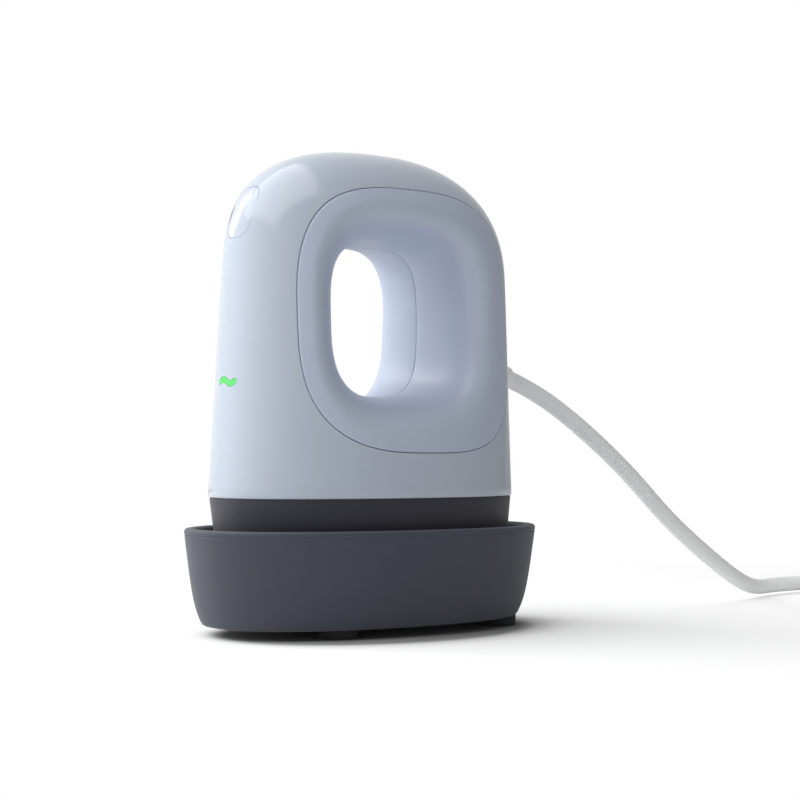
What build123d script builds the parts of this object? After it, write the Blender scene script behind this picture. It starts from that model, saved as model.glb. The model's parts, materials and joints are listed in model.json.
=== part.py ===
from build123d import *
import os
from math import atan2, copysign, cos, hypot, pi, radians, sin, tan

# Mini heat press standing in its rest tray, with its cord and plug.
# Frame: floor at z = 0, nose towards -X, cord towards +X, origin under the middle of the tray.

os.makedirs("parts", exist_ok=True)

# Plan shape shared by the tray, the skirt, the shell and the heat plate: an oval with a slimmer nose
oval_power = 2.27
oval_fullness_share = 0.632
nose_slim_share = 0.07
overrun = 1.0

# Outer shell
skirt_line = 37.3
shell_height = 97.2
shell_front = 46.5
shell_rear = 45.9
shell_side = 30.4
shell_wall = 2.2
front_rake_share = 0.057
rear_rake_share = 0.015
side_rake_share = 0.048
front_dome = 30.5
rear_dome = 33.8
side_dome = 40.2
front_dome_power = 2.63
rear_dome_power = 2.36
side_dome_power = 2.38
dome_turns = (0, 11, 22, 33, 44, 55, 66, 76, 84)

# Grip window with its two funnel inserts
grip_centre = 2.0
window_height = 85.9
window_half_length = 35.8
window_half_height = 36.3
window_power = 3.1
throat_height = 86.8
throat_half_length = 16.9
throat_half_height = 21.3
throat_power = 3.4
band_width = 3.0
front_lip_share = 0.606
rear_lip_share = 0.2
lip_rise_share = 2.0
insert_wall = 2.0
window_gap = 0.15
grip_steps = 20
funnel_depth_shares = (
    0, 0.105, 0.21, 0.31, 0.4, 0.487, 0.566, 0.638, 0.704, 0.763, 0.819, 0.872, 0.921, 0.97, 1.02, 1.085
)

# Skirt between the shell and the heat plate
skirt_bottom = 15.2
skirt_inset = 0.3
skirt_wall = 2.2
skirt_front_draft_share = 0.13
skirt_rear_draft_share = 0.07
skirt_side_draft_share = 0.1
ledge_width = 6.5
ledge_thickness = 2.5
ledge_top = 33.7

# Heat plate with its U-shaped heater
plate_length = 82.5
plate_width = 48.8
plate_thickness = 4.0
plate_edge_round = 1.0
press_gap = 0.2
element_diameter = 6.0
element_gap = 0.1
element_front = 32.0
element_rear = 27.0
element_half_spread = 9.5
element_nose_radius = 9.4
element_riser_radius = 7.0
element_riser_height = 16.4
land_margin = 4.0
land_height = 3.0
terminal_pin_diameter = 2.4
terminal_pin_length = 2.6
lead_wire_diameter = 2.0

# Stand-offs, shield and insulation above the plate
standoff_diameter = 6.0
front_standoff_reach = 22.0
rear_standoff_reach = 20.5
standoff_half_spread = 17.5
standoff_spigot_diameter = 3.0
standoff_spigot_length = 2.5
pad_thickness = 6.0
pad_inset = 2.2
shield_thickness = 0.6
shield_hem = 2.0
pass_hole_gap = 0.4

# Heat sensors on the plate
sensor_offset = 4.0
fuse_link_diameter = 4.0
fuse_link_length = 11.0
thermistor_diameter = 2.4
thermistor_length = 6.0
thermistor_offset = 14.0
clip_thickness = 0.8
clip_width = 5.0
clip_reach = 4.4
sensor_lead_diameter = 1.2

# Fasteners
screw_diameter = 3.0
screw_head_diameter = 5.5
screw_head_height = 2.0
screw_gap = 0.1
small_screw_diameter = 2.2
small_head_diameter = 4.0
small_head_height = 1.4

# Chassis that carries the shell, the plate and the electronics
chassis_thickness = 2.4
chassis_fit = 0.3
chassis_rim_height = 4.6
chassis_rim_wall = 1.6
front_boss_reach = 30.5
front_boss_half_spread = 15.5
rear_boss_reach = 32.0
rear_boss_half_spread = 16.8
shell_boss_diameter = 6.4
shell_boss_height = 5.6
shell_boss_rib = 2.0
shell_screw_bite = 5.0
board_post_diameter = 5.0
board_post_height = 5.9

# Main board and what stands on it
board_length = 50.0
board_width = 36.0
board_thickness = 1.6
board_centre = 4.5
board_corner = 2.0
post_inset = 3.5
relay_size = (19.0, 10.0, 12.0)
relay_place = 0.0
relay_edge_inset = 8.5
converter_size = (20.0, 12.0, 9.0)
converter_place = 0.5
converter_edge_inset = 9.0
capacitor_size = (5.0, 13.0, 9.0)
capacitor_place = 15.0
capacitor_edge_inset = 9.0
fuse_size = (12.0, 5.0)
fuse_place = 17.0
fuse_edge_inset = 6.0
chip_size = (7.0, 7.0, 1.4)
chip_place = (-13.5, 0.0)
block_size = (9.0, 12.0, 9.4)
block_place = (24.5, 0.0)

# Masts at the nose and at the cord end
mast_thickness = 3.0
mast_half_width = 7.0
mast_foot_length = 12.0
mast_foot_half_width = 9.0
mast_foot_thickness = 2.4
nose_mast_place = -27.0
cord_mast_place = 30.0
cord_foot_length = 9.4
cord_foot_half_width = 7.5
cord_screw_reach = 6.4
nose_mast_height = 81.5
mast_screw_half_spread = 5.5

# Power button on the upper nose, with its switch
button_height = 115.3
button_width = 11.5
button_length = 15.0
button_corner = 4.2
button_gap = 0.25
button_travel = 0.7
button_stem_diameter = 4.0
button_stem_depth = 6.0
plunger_gap = 0.1
plunger_diameter = 3.2
plunger_length = 2.3
switch_size = 6.4
switch_thickness = 3.6
switch_bore_gap = 0.2
switch_bore_depth = 2.4
switch_depth = 7.2
button_board_width = 12.0
button_board_length = 14.0
small_board_thickness = 1.2

# Status light: a small wave set in the nose
light_height = 68.8
wave_width = 9.0
wave_rise = 0.75
wave_stroke = 1.7
wave_steps = 8
light_gap = 0.05
guide_width = 10.0
guide_height = 4.6
guide_depth = 5.5
led_size = (1.6, 3.2, 2.8)
led_gap = 0.3
light_board_width = 12.0
light_board_length = 13.0

# Flat cable from the main board up the nose mast
ribbon_width = 7.0
ribbon_thickness = 0.8
ribbon_gap = 0.15
ribbon_landing = 1.2

# Power cord
cord_diameter = 5.2
cord_exit_height = 74.9
cord_exit_droop = 18.0
boot_length = 8.4
boot_root_diameter = 8.6
boot_tip_diameter = 6.4
boot_hole_gap = 0.1
boot_flange_diameter = 11.0
boot_flange_thickness = 2.4
boot_flange_setback = 0.9
boot_inside_length = 11.8
lead_inside_length = 16.5
first_run_length = 11.6
clamp_thickness = 1.6
clamp_half_spread = 5.4
clamp_screw_diameter = 1.6
clamp_screw_head_diameter = 2.8
clamp_screw_head_height = 1.2
clamp_screw_bite = 8.0
mains_wire_diameter = 1.9
mains_wire_half_spread = 1.35
mains_wire_reach = 5.0
mains_wire_radius = 3.5

# Put-away coil and plug, on the floor past the cord end
tie_thickness = 0.8
tie_width = 12.0
tie_gap = 0.2
coil_pitch = 5.8
coil_outer_radius = 39.5
coil_half_turns = 8
coil_tail_run = 7.0
coil_tail_radius = 32.0
coil_lead_length = 21.0
coil_centre = (217.0, -33.0)
cord_route = [
    (82.0, -2.2, 57.5),
    (100.0, -4.4, 43.2),
    (115.0, -6.0, 28.8),
    (131.0, -7.0, 17.2),
    (147.5, -5.2, 8.2),
    (164.0, 1.0, 3.4),
    (181.0, 6.5, 3.4),
]
plug_length = 27.0
plug_width = 19.0
plug_thickness = 14.0
plug_gap = 0.9
plug_round = 3.0
plug_grip_length = 14.0
plug_grip_width = 11.0
blade_length = 17.5
blade_width = 6.35
blade_thickness = 1.5
blade_spread = 12.7

# Rest tray
foot_height = 2.6
foot_seat = 1.2
foot_diameter = 11.0
foot_round = 0.6
foot_gap = 0.1
front_foot_reach = 20.5
front_foot_half_spread = 18.0
rear_foot_reach = 36.0
rear_foot_half_spread = 16.0
tray_rim_height = 29.0
tray_reach = 53.5
tray_side = 35.4
tray_foot_inset = 4.9
tray_foot_side_inset = 6.6
tray_wall = 3.0
tray_floor = 4.0
tray_rim_round = 1.1
tray_level_shares = (0, 0.17, 0.34, 0.5, 0.65, 0.78, 0.89, 1.0)
tray_slope_share = 0.63
tray_heel_power = 6

# Liner that the hot plate stands on
liner_floor = 1.8
liner_inset = 0.8
liner_rib_height = 2.0
liner_rib_width = 3.0
liner_rib_length = 50.0
liner_rib_spacing = 13.0
liner_wall = 1.6
liner_wall_height = 5.0
liner_boss_diameter = 7.0
liner_boss_height = 1.4
liner_pilot_depth = 2.4

# Heights and fits that follow from the sizes above
cord_radius = cord_diameter / 2
crown = skirt_line + shell_height
tray_bottom = foot_height
tray_floor_top = tray_bottom + tray_floor
liner_floor_top = tray_floor_top + liner_floor
plate_bottom = liner_floor_top + liner_rib_height + press_gap
plate_top = plate_bottom + plate_thickness
land_top = plate_top + land_height
element_height = land_top
pad_bottom = element_height + element_diameter / 2 + element_gap
shield_bottom = pad_bottom + pad_thickness
chassis_top = ledge_top + chassis_thickness
board_bottom = chassis_top + board_post_height
board_top = board_bottom + board_thickness
board_edge = board_width / 2
button_cut_depth = shell_wall + 5 * overrun
pass_hole = lead_wire_diameter / 2 + pass_hole_gap


# Plan oval at a height, for a nose reach, a rear reach and a half width
def oval_sketch(height, front, rear, side):
    nose = (-front, -oval_fullness_share * side * (1 - nose_slim_share))
    tail = (rear, -oval_fullness_share * side * (1 + nose_slim_share))
    nose_side = (-oval_fullness_share * front, -side * (1 - nose_slim_share * oval_fullness_share))
    tail_side = (oval_fullness_share * rear, -side * (1 + nose_slim_share * oval_fullness_share))
    with BuildSketch(Plane.XY.offset(height)) as sketch:
        with BuildLine():
            Bezier((-front, 0), nose, nose_side, (0, -side))
            Bezier((0, -side), tail_side, tail, (rear, 0))
            mirror(about=Plane.XZ)
        make_face()
    return sketch.sketch


# Reach of the shell at a height: a raked wall that rounds over into the crown
def shell_reach(height, foot, rake, dome, power, inset):
    straight = foot - inset - rake * (height - skirt_line)
    rise = max(0, (height - (crown - dome)) / (dome - inset))
    return straight * max(0, 1 - rise ** power) ** (1 / power)


def shell_oval(height, inset):
    front = shell_reach(height, shell_front, front_rake_share, front_dome, front_dome_power, inset)
    rear = shell_reach(height, shell_rear, rear_rake_share, rear_dome, rear_dome_power, inset)
    side = shell_reach(height, shell_side, side_rake_share, side_dome, side_dome_power, inset)
    return front, rear, side


# Solid of the shell's form, set in by a wall: a straight-sided lower part and a dome
def shell_form(inset, start):
    dome_foot = crown - side_dome
    with BuildPart() as form:
        for height in (start, dome_foot):
            add(oval_sketch(height, *shell_oval(height, inset)))
        loft(ruled=True)
        for turn in dome_turns:
            height = dome_foot + (side_dome - inset) * sin(radians(turn)) ** (2 / side_dome_power)
            add(oval_sketch(height, *shell_oval(height, inset)))
        loft()
    return form.part


# Half width of the shell's side at a place along it
def side_depth(x, z, inset):
    front, rear, side = shell_oval(z, inset)
    along = x / (rear if x > 0 else front)
    slim = 1 + nose_slim_share * along
    return side * max(0, 1 - abs(along) ** oval_power) ** (1 / oval_power) * slim


# Rounded outline in the side view, about the grip
def grip_outline(half_length, half_height, power, middle):
    points = []
    for step in range(grip_steps):
        turn = 2 * pi * step / grip_steps
        along = copysign(abs(cos(turn)) ** (2 / power), cos(turn))
        up = copysign(abs(sin(turn)) ** (2 / power), sin(turn))
        points.append((grip_centre + half_length * along, middle + half_height * up))
    return points


# Closed curve through such an outline, with the same spacing for every one
def closed_curve(points):
    base = grip_outline(window_half_length, window_half_height, window_power, window_height)
    travelled = [0]
    for here, following in zip(base, base[1:] + base[:1]):
        travelled.append(travelled[-1] + hypot(following[0] - here[0], following[1] - here[1]))
    spacing = [distance / travelled[-1] for distance in travelled]
    return Edge.make_spline([Vector(*point) for point in points], periodic=True, parameters=spacing)


# How far the funnel has flared from the throat to the mouth, at a share of the depth
def flare_share(share, softness):
    return 1 - max(0, 1 - share ** (1 / softness)) ** softness + max(0, share - 1) * lip_rise_share


# Outline of the funnel at a depth from the middle plane, flaring to the band at the shell's face
def funnel_outline(depth, wall):
    throat = grip_outline(throat_half_length + wall, throat_half_height + wall, throat_power, throat_height)
    mouth_length = window_half_length - band_width + wall
    mouth_height = window_half_height - band_width + wall
    mouth = grip_outline(mouth_length, mouth_height, window_power, window_height)
    points = []
    for (x_in, z_in), (x_out, z_out) in zip(throat, mouth):
        rear_share = (1 + (x_out - grip_centre) / mouth_length) / 2
        softness = front_lip_share + (rear_lip_share - front_lip_share) * rear_share
        flare = flare_share(depth / max(side_depth(x_out, z_out, wall), insert_wall), softness)
        points.append((x_in + (x_out - x_in) * flare, z_in + (z_out - z_in) * flare))
    return points


def funnel_form(wall):
    with BuildPart() as form:
        for share in funnel_depth_shares:
            with BuildSketch(Plane.XZ.offset(share * shell_side)):
                with BuildLine():
                    add(closed_curve(funnel_outline(share * shell_side, wall)))
                make_face()
        loft()
    return form.part


# Straight block of the window's outline, from the middle plane out past one face
def window_form(growth):
    length = window_half_length + growth
    with BuildPart() as form:
        with BuildSketch(Plane.XZ):
            with BuildLine():
                add(closed_curve(grip_outline(length, window_half_height + growth, window_power, window_height)))
            make_face()
        extrude(amount=shell_side * funnel_depth_shares[-1])
    return form.part


# Tube of a diameter along straight runs joined by tangent arcs as large as the runs allow
def run_radii(points):
    radii = []
    for before, corner, after in zip(points, points[1:], points[2:]):
        first = Vector(corner) - Vector(before)
        second = Vector(after) - Vector(corner)
        turn = radians(first.get_angle(second))
        radii.append(0.45 * min(first.length, second.length) / tan(turn / 2))
    return radii


# Points that are mirrored to both ends, four in all
def mirrored(reach_front, spread_front, reach_rear, spread_rear):
    return [
        (-reach_front, -spread_front), (-reach_front, spread_front),
        (reach_rear, -spread_rear), (reach_rear, spread_rear),
    ]


shell_outside = shell_form(0, skirt_line)
shell_inside = shell_form(shell_wall, skirt_line - overrun)
boss_places = mirrored(front_boss_reach, front_boss_half_spread, rear_boss_reach, rear_boss_half_spread)
standoff_places = mirrored(
    front_standoff_reach, standoff_half_spread, rear_standoff_reach, standoff_half_spread
)
foot_places = mirrored(front_foot_reach, front_foot_half_spread, rear_foot_reach, rear_foot_half_spread)
riser_places = [(element_rear, -element_half_spread), (element_rear, element_half_spread)]
sensor_lead_places = [(0, -sensor_offset), (0, sensor_offset)]

# The button's own plane: on the nose, square to its slope, looking outwards
nose_reach = shell_oval(button_height, 0)[0]
nose_slope = nose_reach - shell_oval(button_height + overrun, 0)[0]
button_tilt = atan2(nose_slope, overrun)
button_plane = Plane(
    origin=(-nose_reach, 0, button_height), x_dir=(0, 1, 0), z_dir=(-cos(button_tilt), 0, sin(button_tilt))
)

# Wave of the status light, as the outline of a stroke
def wave_outline(margin):
    upper = []
    lower = []
    half = wave_width / 2
    for step in range(wave_steps + 1):
        across = -half + wave_width * step / wave_steps
        middle = light_height + wave_rise * sin(pi * across / half)
        upper.append((across * (half + margin) / half, middle + wave_stroke / 2 + margin))
        lower.append((across * (half + margin) / half, middle - wave_stroke / 2 - margin))
    return upper, lower


def wave_form(margin, start, length):
    upper, lower = wave_outline(margin)
    with BuildPart() as form:
        with BuildSketch(Plane.YZ.offset(start)):
            with BuildLine():
                Spline(*upper)
                Spline(*lower)
                Line(upper[0], lower[0])
                Line(upper[-1], lower[-1])
            make_face()
        extrude(amount=length)
    return form.part


light_reach = shell_oval(light_height, 0)[0]
cord_wall_reach = shell_oval(cord_exit_height, 0)[1]

# Ribs that tie the shell's screw bosses to its sides
rib_places = [(x, y + copysign(shell_side / 2 + screw_diameter, y)) for x, y in boss_places]
with BuildPart() as boss_ribs:
    with BuildSketch(Plane.XY.offset(skirt_line)):
        with Locations(*rib_places):
            Rectangle(shell_boss_rib, shell_side)
    extrude(amount=chassis_top + shell_boss_height - skirt_line)
    add(shell_outside, mode=Mode.INTERSECT)

# Glossy one-piece hood, open below, with a window on each side for the grip inserts
with BuildPart() as outer_shell:
    add(shell_outside)
    add(shell_inside, mode=Mode.SUBTRACT)
    window = window_form(window_gap)
    add(window, mode=Mode.SUBTRACT)
    add(window.mirror(Plane.XZ), mode=Mode.SUBTRACT)
    with BuildSketch(button_plane.offset(overrun)):
        RectangleRounded(
            button_width + 2 * button_gap, button_length + 2 * button_gap, button_corner + button_gap
        )
    extrude(amount=-button_cut_depth, mode=Mode.SUBTRACT)
    add(wave_form(light_gap, -light_reach - overrun, shell_wall + 3 * overrun), mode=Mode.SUBTRACT)
    with BuildSketch(Plane.YZ.offset(cord_wall_reach + overrun)):
        with Locations((0, cord_exit_height)):
            Circle(boot_root_diameter / 2 + boot_hole_gap)
    extrude(amount=-(shell_wall + 3 * overrun), mode=Mode.SUBTRACT)
    with BuildSketch(Plane.XY.offset(chassis_top)):
        with Locations(*boss_places):
            Circle(shell_boss_diameter / 2)
            Circle(screw_diameter / 2 + screw_gap, mode=Mode.SUBTRACT)
    extrude(amount=shell_boss_height)
    add(boss_ribs.part)
outer_shell.part.label = "outer_shell"
export_step(outer_shell.part, "parts/outer_shell.step")

# Satin grip inserts: a funnel wall from each window to the middle plane, where the halves meet
with BuildPart() as grip_insert_left:
    add(shell_outside)
    add(window_form(0), mode=Mode.INTERSECT)
    hidden = shell_inside - funnel_form(insert_wall)
    add(hidden, mode=Mode.SUBTRACT)
    add(funnel_form(0), mode=Mode.SUBTRACT)
grip_insert_left.part.label = "grip_insert_left"
export_step(grip_insert_left.part, "parts/grip_insert_left.step")

with BuildPart() as grip_insert_right:
    add(grip_insert_left.part.mirror(Plane.XZ))
grip_insert_right.part.label = "grip_insert_right"
export_step(grip_insert_right.part, "parts/grip_insert_right.step")


# Skirt outline at a height, set in by a wall
def skirt_oval(height, inset):
    drop = skirt_line - height
    return (
        shell_front - skirt_inset - inset - skirt_front_draft_share * drop,
        shell_rear - skirt_inset - inset - skirt_rear_draft_share * drop,
        shell_side - skirt_inset - inset - skirt_side_draft_share * drop,
    )


def skirt_form(bottom, top, inset):
    with BuildPart() as form:
        for height in (bottom, top):
            add(oval_sketch(height, *skirt_oval(height, inset)))
        loft()
    return form.part


# Dark speckled skirt, a tapered ring with an inner ledge that carries the chassis
with BuildPart() as base_skirt:
    add(skirt_form(skirt_bottom, skirt_line, 0))
    add(skirt_form(skirt_bottom - overrun, ledge_top - ledge_thickness, skirt_wall), mode=Mode.SUBTRACT)
    add(skirt_form(ledge_top, skirt_line + overrun, skirt_wall), mode=Mode.SUBTRACT)
    add(skirt_form(skirt_bottom, skirt_line, skirt_wall + ledge_width), mode=Mode.SUBTRACT)
    with BuildSketch(Plane.XY.offset(ledge_top)):
        with Locations(*boss_places):
            Circle(screw_diameter / 2 + screw_gap)
        with Locations(*standoff_places):
            Circle(standoff_diameter / 2 + pass_hole_gap)
    extrude(amount=-ledge_thickness, mode=Mode.SUBTRACT)
base_skirt.part.label = "base_skirt"
export_step(base_skirt.part, "parts/base_skirt.step")

# Path of the heater tube: two legs joined round the nose, each turning up at the rear
element_path_points = [
    (element_rear, -element_half_spread, element_height + element_riser_height),
    (element_rear, -element_half_spread, element_height),
    (-element_front, -element_half_spread, element_height),
    (-element_front, element_half_spread, element_height),
    (element_rear, element_half_spread, element_height),
    (element_rear, element_half_spread, element_height + element_riser_height),
]
element_corner_radii = [element_riser_radius, element_nose_radius, element_nose_radius, element_riser_radius]


def element_form(radius):
    with BuildPart() as form:
        with BuildLine() as path:
            FilletPolyline(*element_path_points, radius=element_corner_radii)
        with BuildSketch(Plane(origin=element_path_points[0], z_dir=(0, 0, -1))):
            Circle(radius)
        sweep(path=path.wires()[0])
    return form.part


# Cast heat plate with a raised land that holds the heater
with BuildPart() as heat_plate:
    add(oval_sketch(plate_bottom, plate_length / 2, plate_length / 2, plate_width / 2))
    extrude(amount=plate_thickness)
    fillet(heat_plate.edges().group_by(Axis.Z)[0], plate_edge_round)
    with BuildSketch(Plane.XY.offset(plate_top)):
        with Locations(((element_rear - element_front) / 2, 0)):
            RectangleRounded(
                element_front + element_rear + 2 * land_margin,
                2 * (element_half_spread + land_margin),
                element_nose_radius + land_margin,
            )
            RectangleRounded(
                element_front + element_rear - 2 * land_margin,
                2 * (element_half_spread - land_margin),
                element_nose_radius - land_margin,
                mode=Mode.SUBTRACT,
            )
    extrude(amount=land_height)
    add(element_form(element_diameter / 2 + element_gap), mode=Mode.SUBTRACT)
    with BuildSketch(Plane.XY.offset(plate_top)):
        with Locations(*standoff_places):
            Circle(standoff_spigot_diameter / 2 + screw_gap)
    extrude(amount=-standoff_spigot_length, mode=Mode.SUBTRACT)
heat_plate.part.label = "heat_plate"
export_step(heat_plate.part, "parts/heat_plate.step")

# Sheathed tubular heater
heating_element = BuildPart()
with heating_element:
    add(element_form(element_diameter / 2))
heating_element.part.label = "heating_element"
export_step(heating_element.part, "parts/heating_element.step")

# Cold pins of the heater, one at each riser
pin_bottom = element_height + element_riser_height
with BuildPart() as element_pins:
    with BuildSketch(Plane.XY.offset(pin_bottom)):
        with Locations(*riser_places):
            Circle(terminal_pin_diameter / 2)
    extrude(amount=terminal_pin_length)
element_pins.part.label = "element_pins"
export_step(element_pins.part, "parts/element_pins.step")

# Wires from the cold pins up to the board
pin_top = pin_bottom + terminal_pin_length
with BuildPart() as heater_wires:
    with BuildSketch(Plane.XY.offset(pin_top)):
        with Locations(*riser_places):
            Circle(lead_wire_diameter / 2)
    extrude(amount=board_bottom - pin_top)
heater_wires.part.label = "heater_wires"
export_step(heater_wires.part, "parts/heater_wires.step")

# Steel stand-offs between the plate and the chassis
with BuildPart() as plate_standoffs:
    with BuildSketch(Plane.XY.offset(plate_top)):
        with Locations(*standoff_places):
            Circle(standoff_diameter / 2)
    extrude(amount=ledge_top - plate_top)
    with BuildSketch(Plane.XY.offset(plate_top)):
        with Locations(*standoff_places):
            Circle(standoff_spigot_diameter / 2)
    extrude(amount=-standoff_spigot_length)
    with BuildSketch(Plane.XY.offset(ledge_top)):
        with Locations(*standoff_places):
            Circle(screw_diameter / 2 + screw_gap)
    extrude(amount=-shell_screw_bite, mode=Mode.SUBTRACT)
plate_standoffs.part.label = "plate_standoffs"
export_step(plate_standoffs.part, "parts/plate_standoffs.step")


# Screws at a list of places: heads that rise from a height, shanks that run down from it
def screws(places, height, length, diameter, head_diameter, head_height, upside=1):
    with BuildPart() as group:
        with BuildSketch(Plane.XY.offset(height)):
            with Locations(*places):
                Circle(head_diameter / 2)
        extrude(amount=upside * head_height)
        with BuildSketch(Plane.XY.offset(height)):
            with Locations(*places):
                Circle(diameter / 2)
        extrude(amount=-upside * length)
    return group


plate_screws = screws(
    standoff_places, chassis_top, chassis_thickness + shell_screw_bite - overrun,
    screw_diameter, screw_head_diameter, screw_head_height,
)
plate_screws.part.label = "plate_screws"
export_step(plate_screws.part, "parts/plate_screws.step")

# Ceramic-fibre pad over the heater
pad_outline = [reach - pad_inset for reach in skirt_oval(pad_bottom, skirt_wall)]
riser_slot_length = element_riser_radius + element_diameter / 2 + pass_hole_gap
riser_slot_centre = element_rear + element_diameter / 2 + pass_hole_gap - riser_slot_length / 2
with BuildPart() as insulation_pad:
    add(oval_sketch(pad_bottom, *pad_outline))
    extrude(amount=pad_thickness)
    with BuildSketch(Plane.XY.offset(pad_bottom)):
        with Locations(*standoff_places):
            Circle(standoff_diameter / 2 + pass_hole_gap)
        with Locations((riser_slot_centre, -element_half_spread), (riser_slot_centre, element_half_spread)):
            SlotOverall(riser_slot_length, element_diameter + 2 * pass_hole_gap)
        with Locations(*sensor_lead_places):
            Circle(pass_hole)
    extrude(amount=pad_thickness, mode=Mode.SUBTRACT)
insulation_pad.part.label = "insulation_pad"
export_step(insulation_pad.part, "parts/insulation_pad.step")

# Thin steel heat shield, a lid with a turned-down hem round the pad
hem_outline = [reach + shield_thickness + element_gap for reach in pad_outline]
with BuildPart() as heat_shield:
    add(oval_sketch(shield_bottom - shield_hem, *hem_outline))
    extrude(amount=shield_hem + shield_thickness)
    add(oval_sketch(shield_bottom - shield_hem, *[reach - shield_thickness for reach in hem_outline]))
    extrude(amount=shield_hem, mode=Mode.SUBTRACT)
    with BuildSketch(Plane.XY.offset(shield_bottom - shield_hem)):
        with Locations(*standoff_places):
            Circle(standoff_diameter / 2 + pass_hole_gap)
        with Locations(*riser_places):
            Circle(element_diameter / 2 + pass_hole_gap)
        with Locations(*sensor_lead_places):
            Circle(pass_hole)
    extrude(amount=shield_hem + shield_thickness, mode=Mode.SUBTRACT)
heat_shield.part.label = "heat_shield"
export_step(heat_shield.part, "parts/heat_shield.step")

# Thermal cut-off lying on the plate between the heater's legs
with BuildPart() as thermal_cutoff:
    with BuildSketch(Plane.YZ.offset(-fuse_link_length / 2)):
        with Locations((0, plate_top + fuse_link_diameter / 2)):
            Circle(fuse_link_diameter / 2)
    extrude(amount=fuse_link_length)
thermal_cutoff.part.label = "thermal_cutoff"
export_step(thermal_cutoff.part, "parts/thermal_cutoff.step")

# Temperature sensor bead, nearer the nose
with BuildPart() as temperature_sensor:
    with BuildSketch(Plane.YZ.offset(-thermistor_offset - thermistor_length / 2)):
        with Locations((0, plate_top + thermistor_diameter / 2)):
            Circle(thermistor_diameter / 2)
    extrude(amount=thermistor_length)
temperature_sensor.part.label = "temperature_sensor"
export_step(temperature_sensor.part, "parts/temperature_sensor.step")


# Strap over a round sensor, with a foot on each side
def strap_form(place, diameter):
    inner = diameter / 2 + element_gap
    outer = inner + clip_thickness
    middle = plate_top + diameter / 2
    with BuildPart() as strap:
        with BuildSketch(Plane.YZ.offset(place - clip_width / 2)):
            with Locations((0, plate_top)):
                Rectangle(2 * clip_reach, clip_thickness, align=(Align.CENTER, Align.MIN))
                Rectangle(2 * outer, diameter / 2, align=(Align.CENTER, Align.MIN))
            with Locations((0, middle)):
                Circle(outer)
                Circle(inner, mode=Mode.SUBTRACT)
            with Locations((0, plate_top)):
                Rectangle(2 * inner, diameter / 2, align=(Align.CENTER, Align.MIN), mode=Mode.SUBTRACT)
        extrude(amount=clip_width)
        with Locations((place, 0, plate_top)):
            Box(
                clip_width, 2 * clip_reach, outer + diameter, mode=Mode.INTERSECT,
                align=(Align.CENTER, Align.CENTER, Align.MIN),
            )
    return strap.part


with BuildPart() as sensor_clips:
    add(strap_form(0, fuse_link_diameter))
    add(strap_form(-thermistor_offset, thermistor_diameter))
sensor_clips.part.label = "sensor_clips"
export_step(sensor_clips.part, "parts/sensor_clips.step")

# Sensor leads, from the straps' feet up to the board
with BuildPart() as sensor_wires:
    with BuildSketch(Plane.XY.offset(plate_top + clip_thickness)):
        with Locations(*sensor_lead_places):
            Circle(sensor_lead_diameter / 2)
    extrude(amount=board_bottom - plate_top - clip_thickness)
sensor_wires.part.label = "sensor_wires"
export_step(sensor_wires.part, "parts/sensor_wires.step")

# Chassis: a plate on the skirt's ledge, a rim that centres the shell, and posts for the board
chassis_outline = [reach - chassis_fit for reach in skirt_oval(ledge_top, skirt_wall)]
post_reach = board_length / 2 - post_inset
post_spread = board_width / 2 - post_inset
post_places = mirrored(post_reach - board_centre, post_spread, post_reach + board_centre, post_spread)
nose_screw_places = [
    (nose_mast_place - mast_foot_length / 2, -mast_screw_half_spread),
    (nose_mast_place - mast_foot_length / 2, mast_screw_half_spread),
]
cord_screw_places = [
    (cord_mast_place + cord_screw_reach, -mast_screw_half_spread),
    (cord_mast_place + cord_screw_reach, mast_screw_half_spread),
]
small_hole = small_screw_diameter / 2 + screw_gap
with BuildPart() as chassis:
    add(oval_sketch(ledge_top, *chassis_outline))
    extrude(amount=chassis_thickness + chassis_rim_height)
    add(oval_sketch(chassis_top, *[reach - chassis_rim_wall for reach in chassis_outline]))
    extrude(amount=chassis_rim_height, mode=Mode.SUBTRACT)
    with BuildSketch(Plane.XY.offset(chassis_top)):
        with Locations(*boss_places):
            Circle(shell_boss_diameter / 2 + chassis_fit)
        with Locations(*rib_places):
            Rectangle(shell_boss_rib + 2 * chassis_fit, shell_side)
    extrude(amount=chassis_rim_height, mode=Mode.SUBTRACT)
    with BuildSketch(Plane.XY.offset(chassis_top)):
        with Locations(*post_places):
            Circle(board_post_diameter / 2)
    extrude(amount=board_post_height)
    with BuildSketch(Plane.XY.offset(board_bottom)):
        with Locations(*post_places):
            Circle(small_hole)
    extrude(amount=-board_post_height, mode=Mode.SUBTRACT)
    with BuildSketch(Plane.XY.offset(ledge_top)):
        with Locations(*boss_places, *standoff_places):
            Circle(screw_diameter / 2 + screw_gap)
        with Locations(*nose_screw_places, *cord_screw_places):
            Circle(small_hole)
        with Locations(*riser_places):
            Circle(element_diameter / 2 + pass_hole_gap)
        with Locations(*sensor_lead_places):
            Circle(pass_hole)
    extrude(amount=chassis_thickness, mode=Mode.SUBTRACT)
chassis.part.label = "chassis"
export_step(chassis.part, "parts/chassis.step")

# Screws from under the skirt's ledge up into the shell's bosses
shell_screws = screws(
    boss_places, ledge_top - ledge_thickness, ledge_thickness + chassis_thickness + shell_screw_bite,
    screw_diameter, screw_head_diameter, screw_head_height, upside=-1,
)
shell_screws.part.label = "shell_screws"
export_step(shell_screws.part, "parts/shell_screws.step")

# Main board, a plain rectangle with its corners rounded
with BuildPart() as main_board:
    with BuildSketch(Plane.XY.offset(board_bottom)):
        with Locations((board_centre, 0)):
            RectangleRounded(board_length, board_width, board_corner)
        with Locations(*post_places):
            Circle(small_hole, mode=Mode.SUBTRACT)
    extrude(amount=board_thickness)
main_board.part.label = "main_board"
export_step(main_board.part, "parts/main_board.step")

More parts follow.
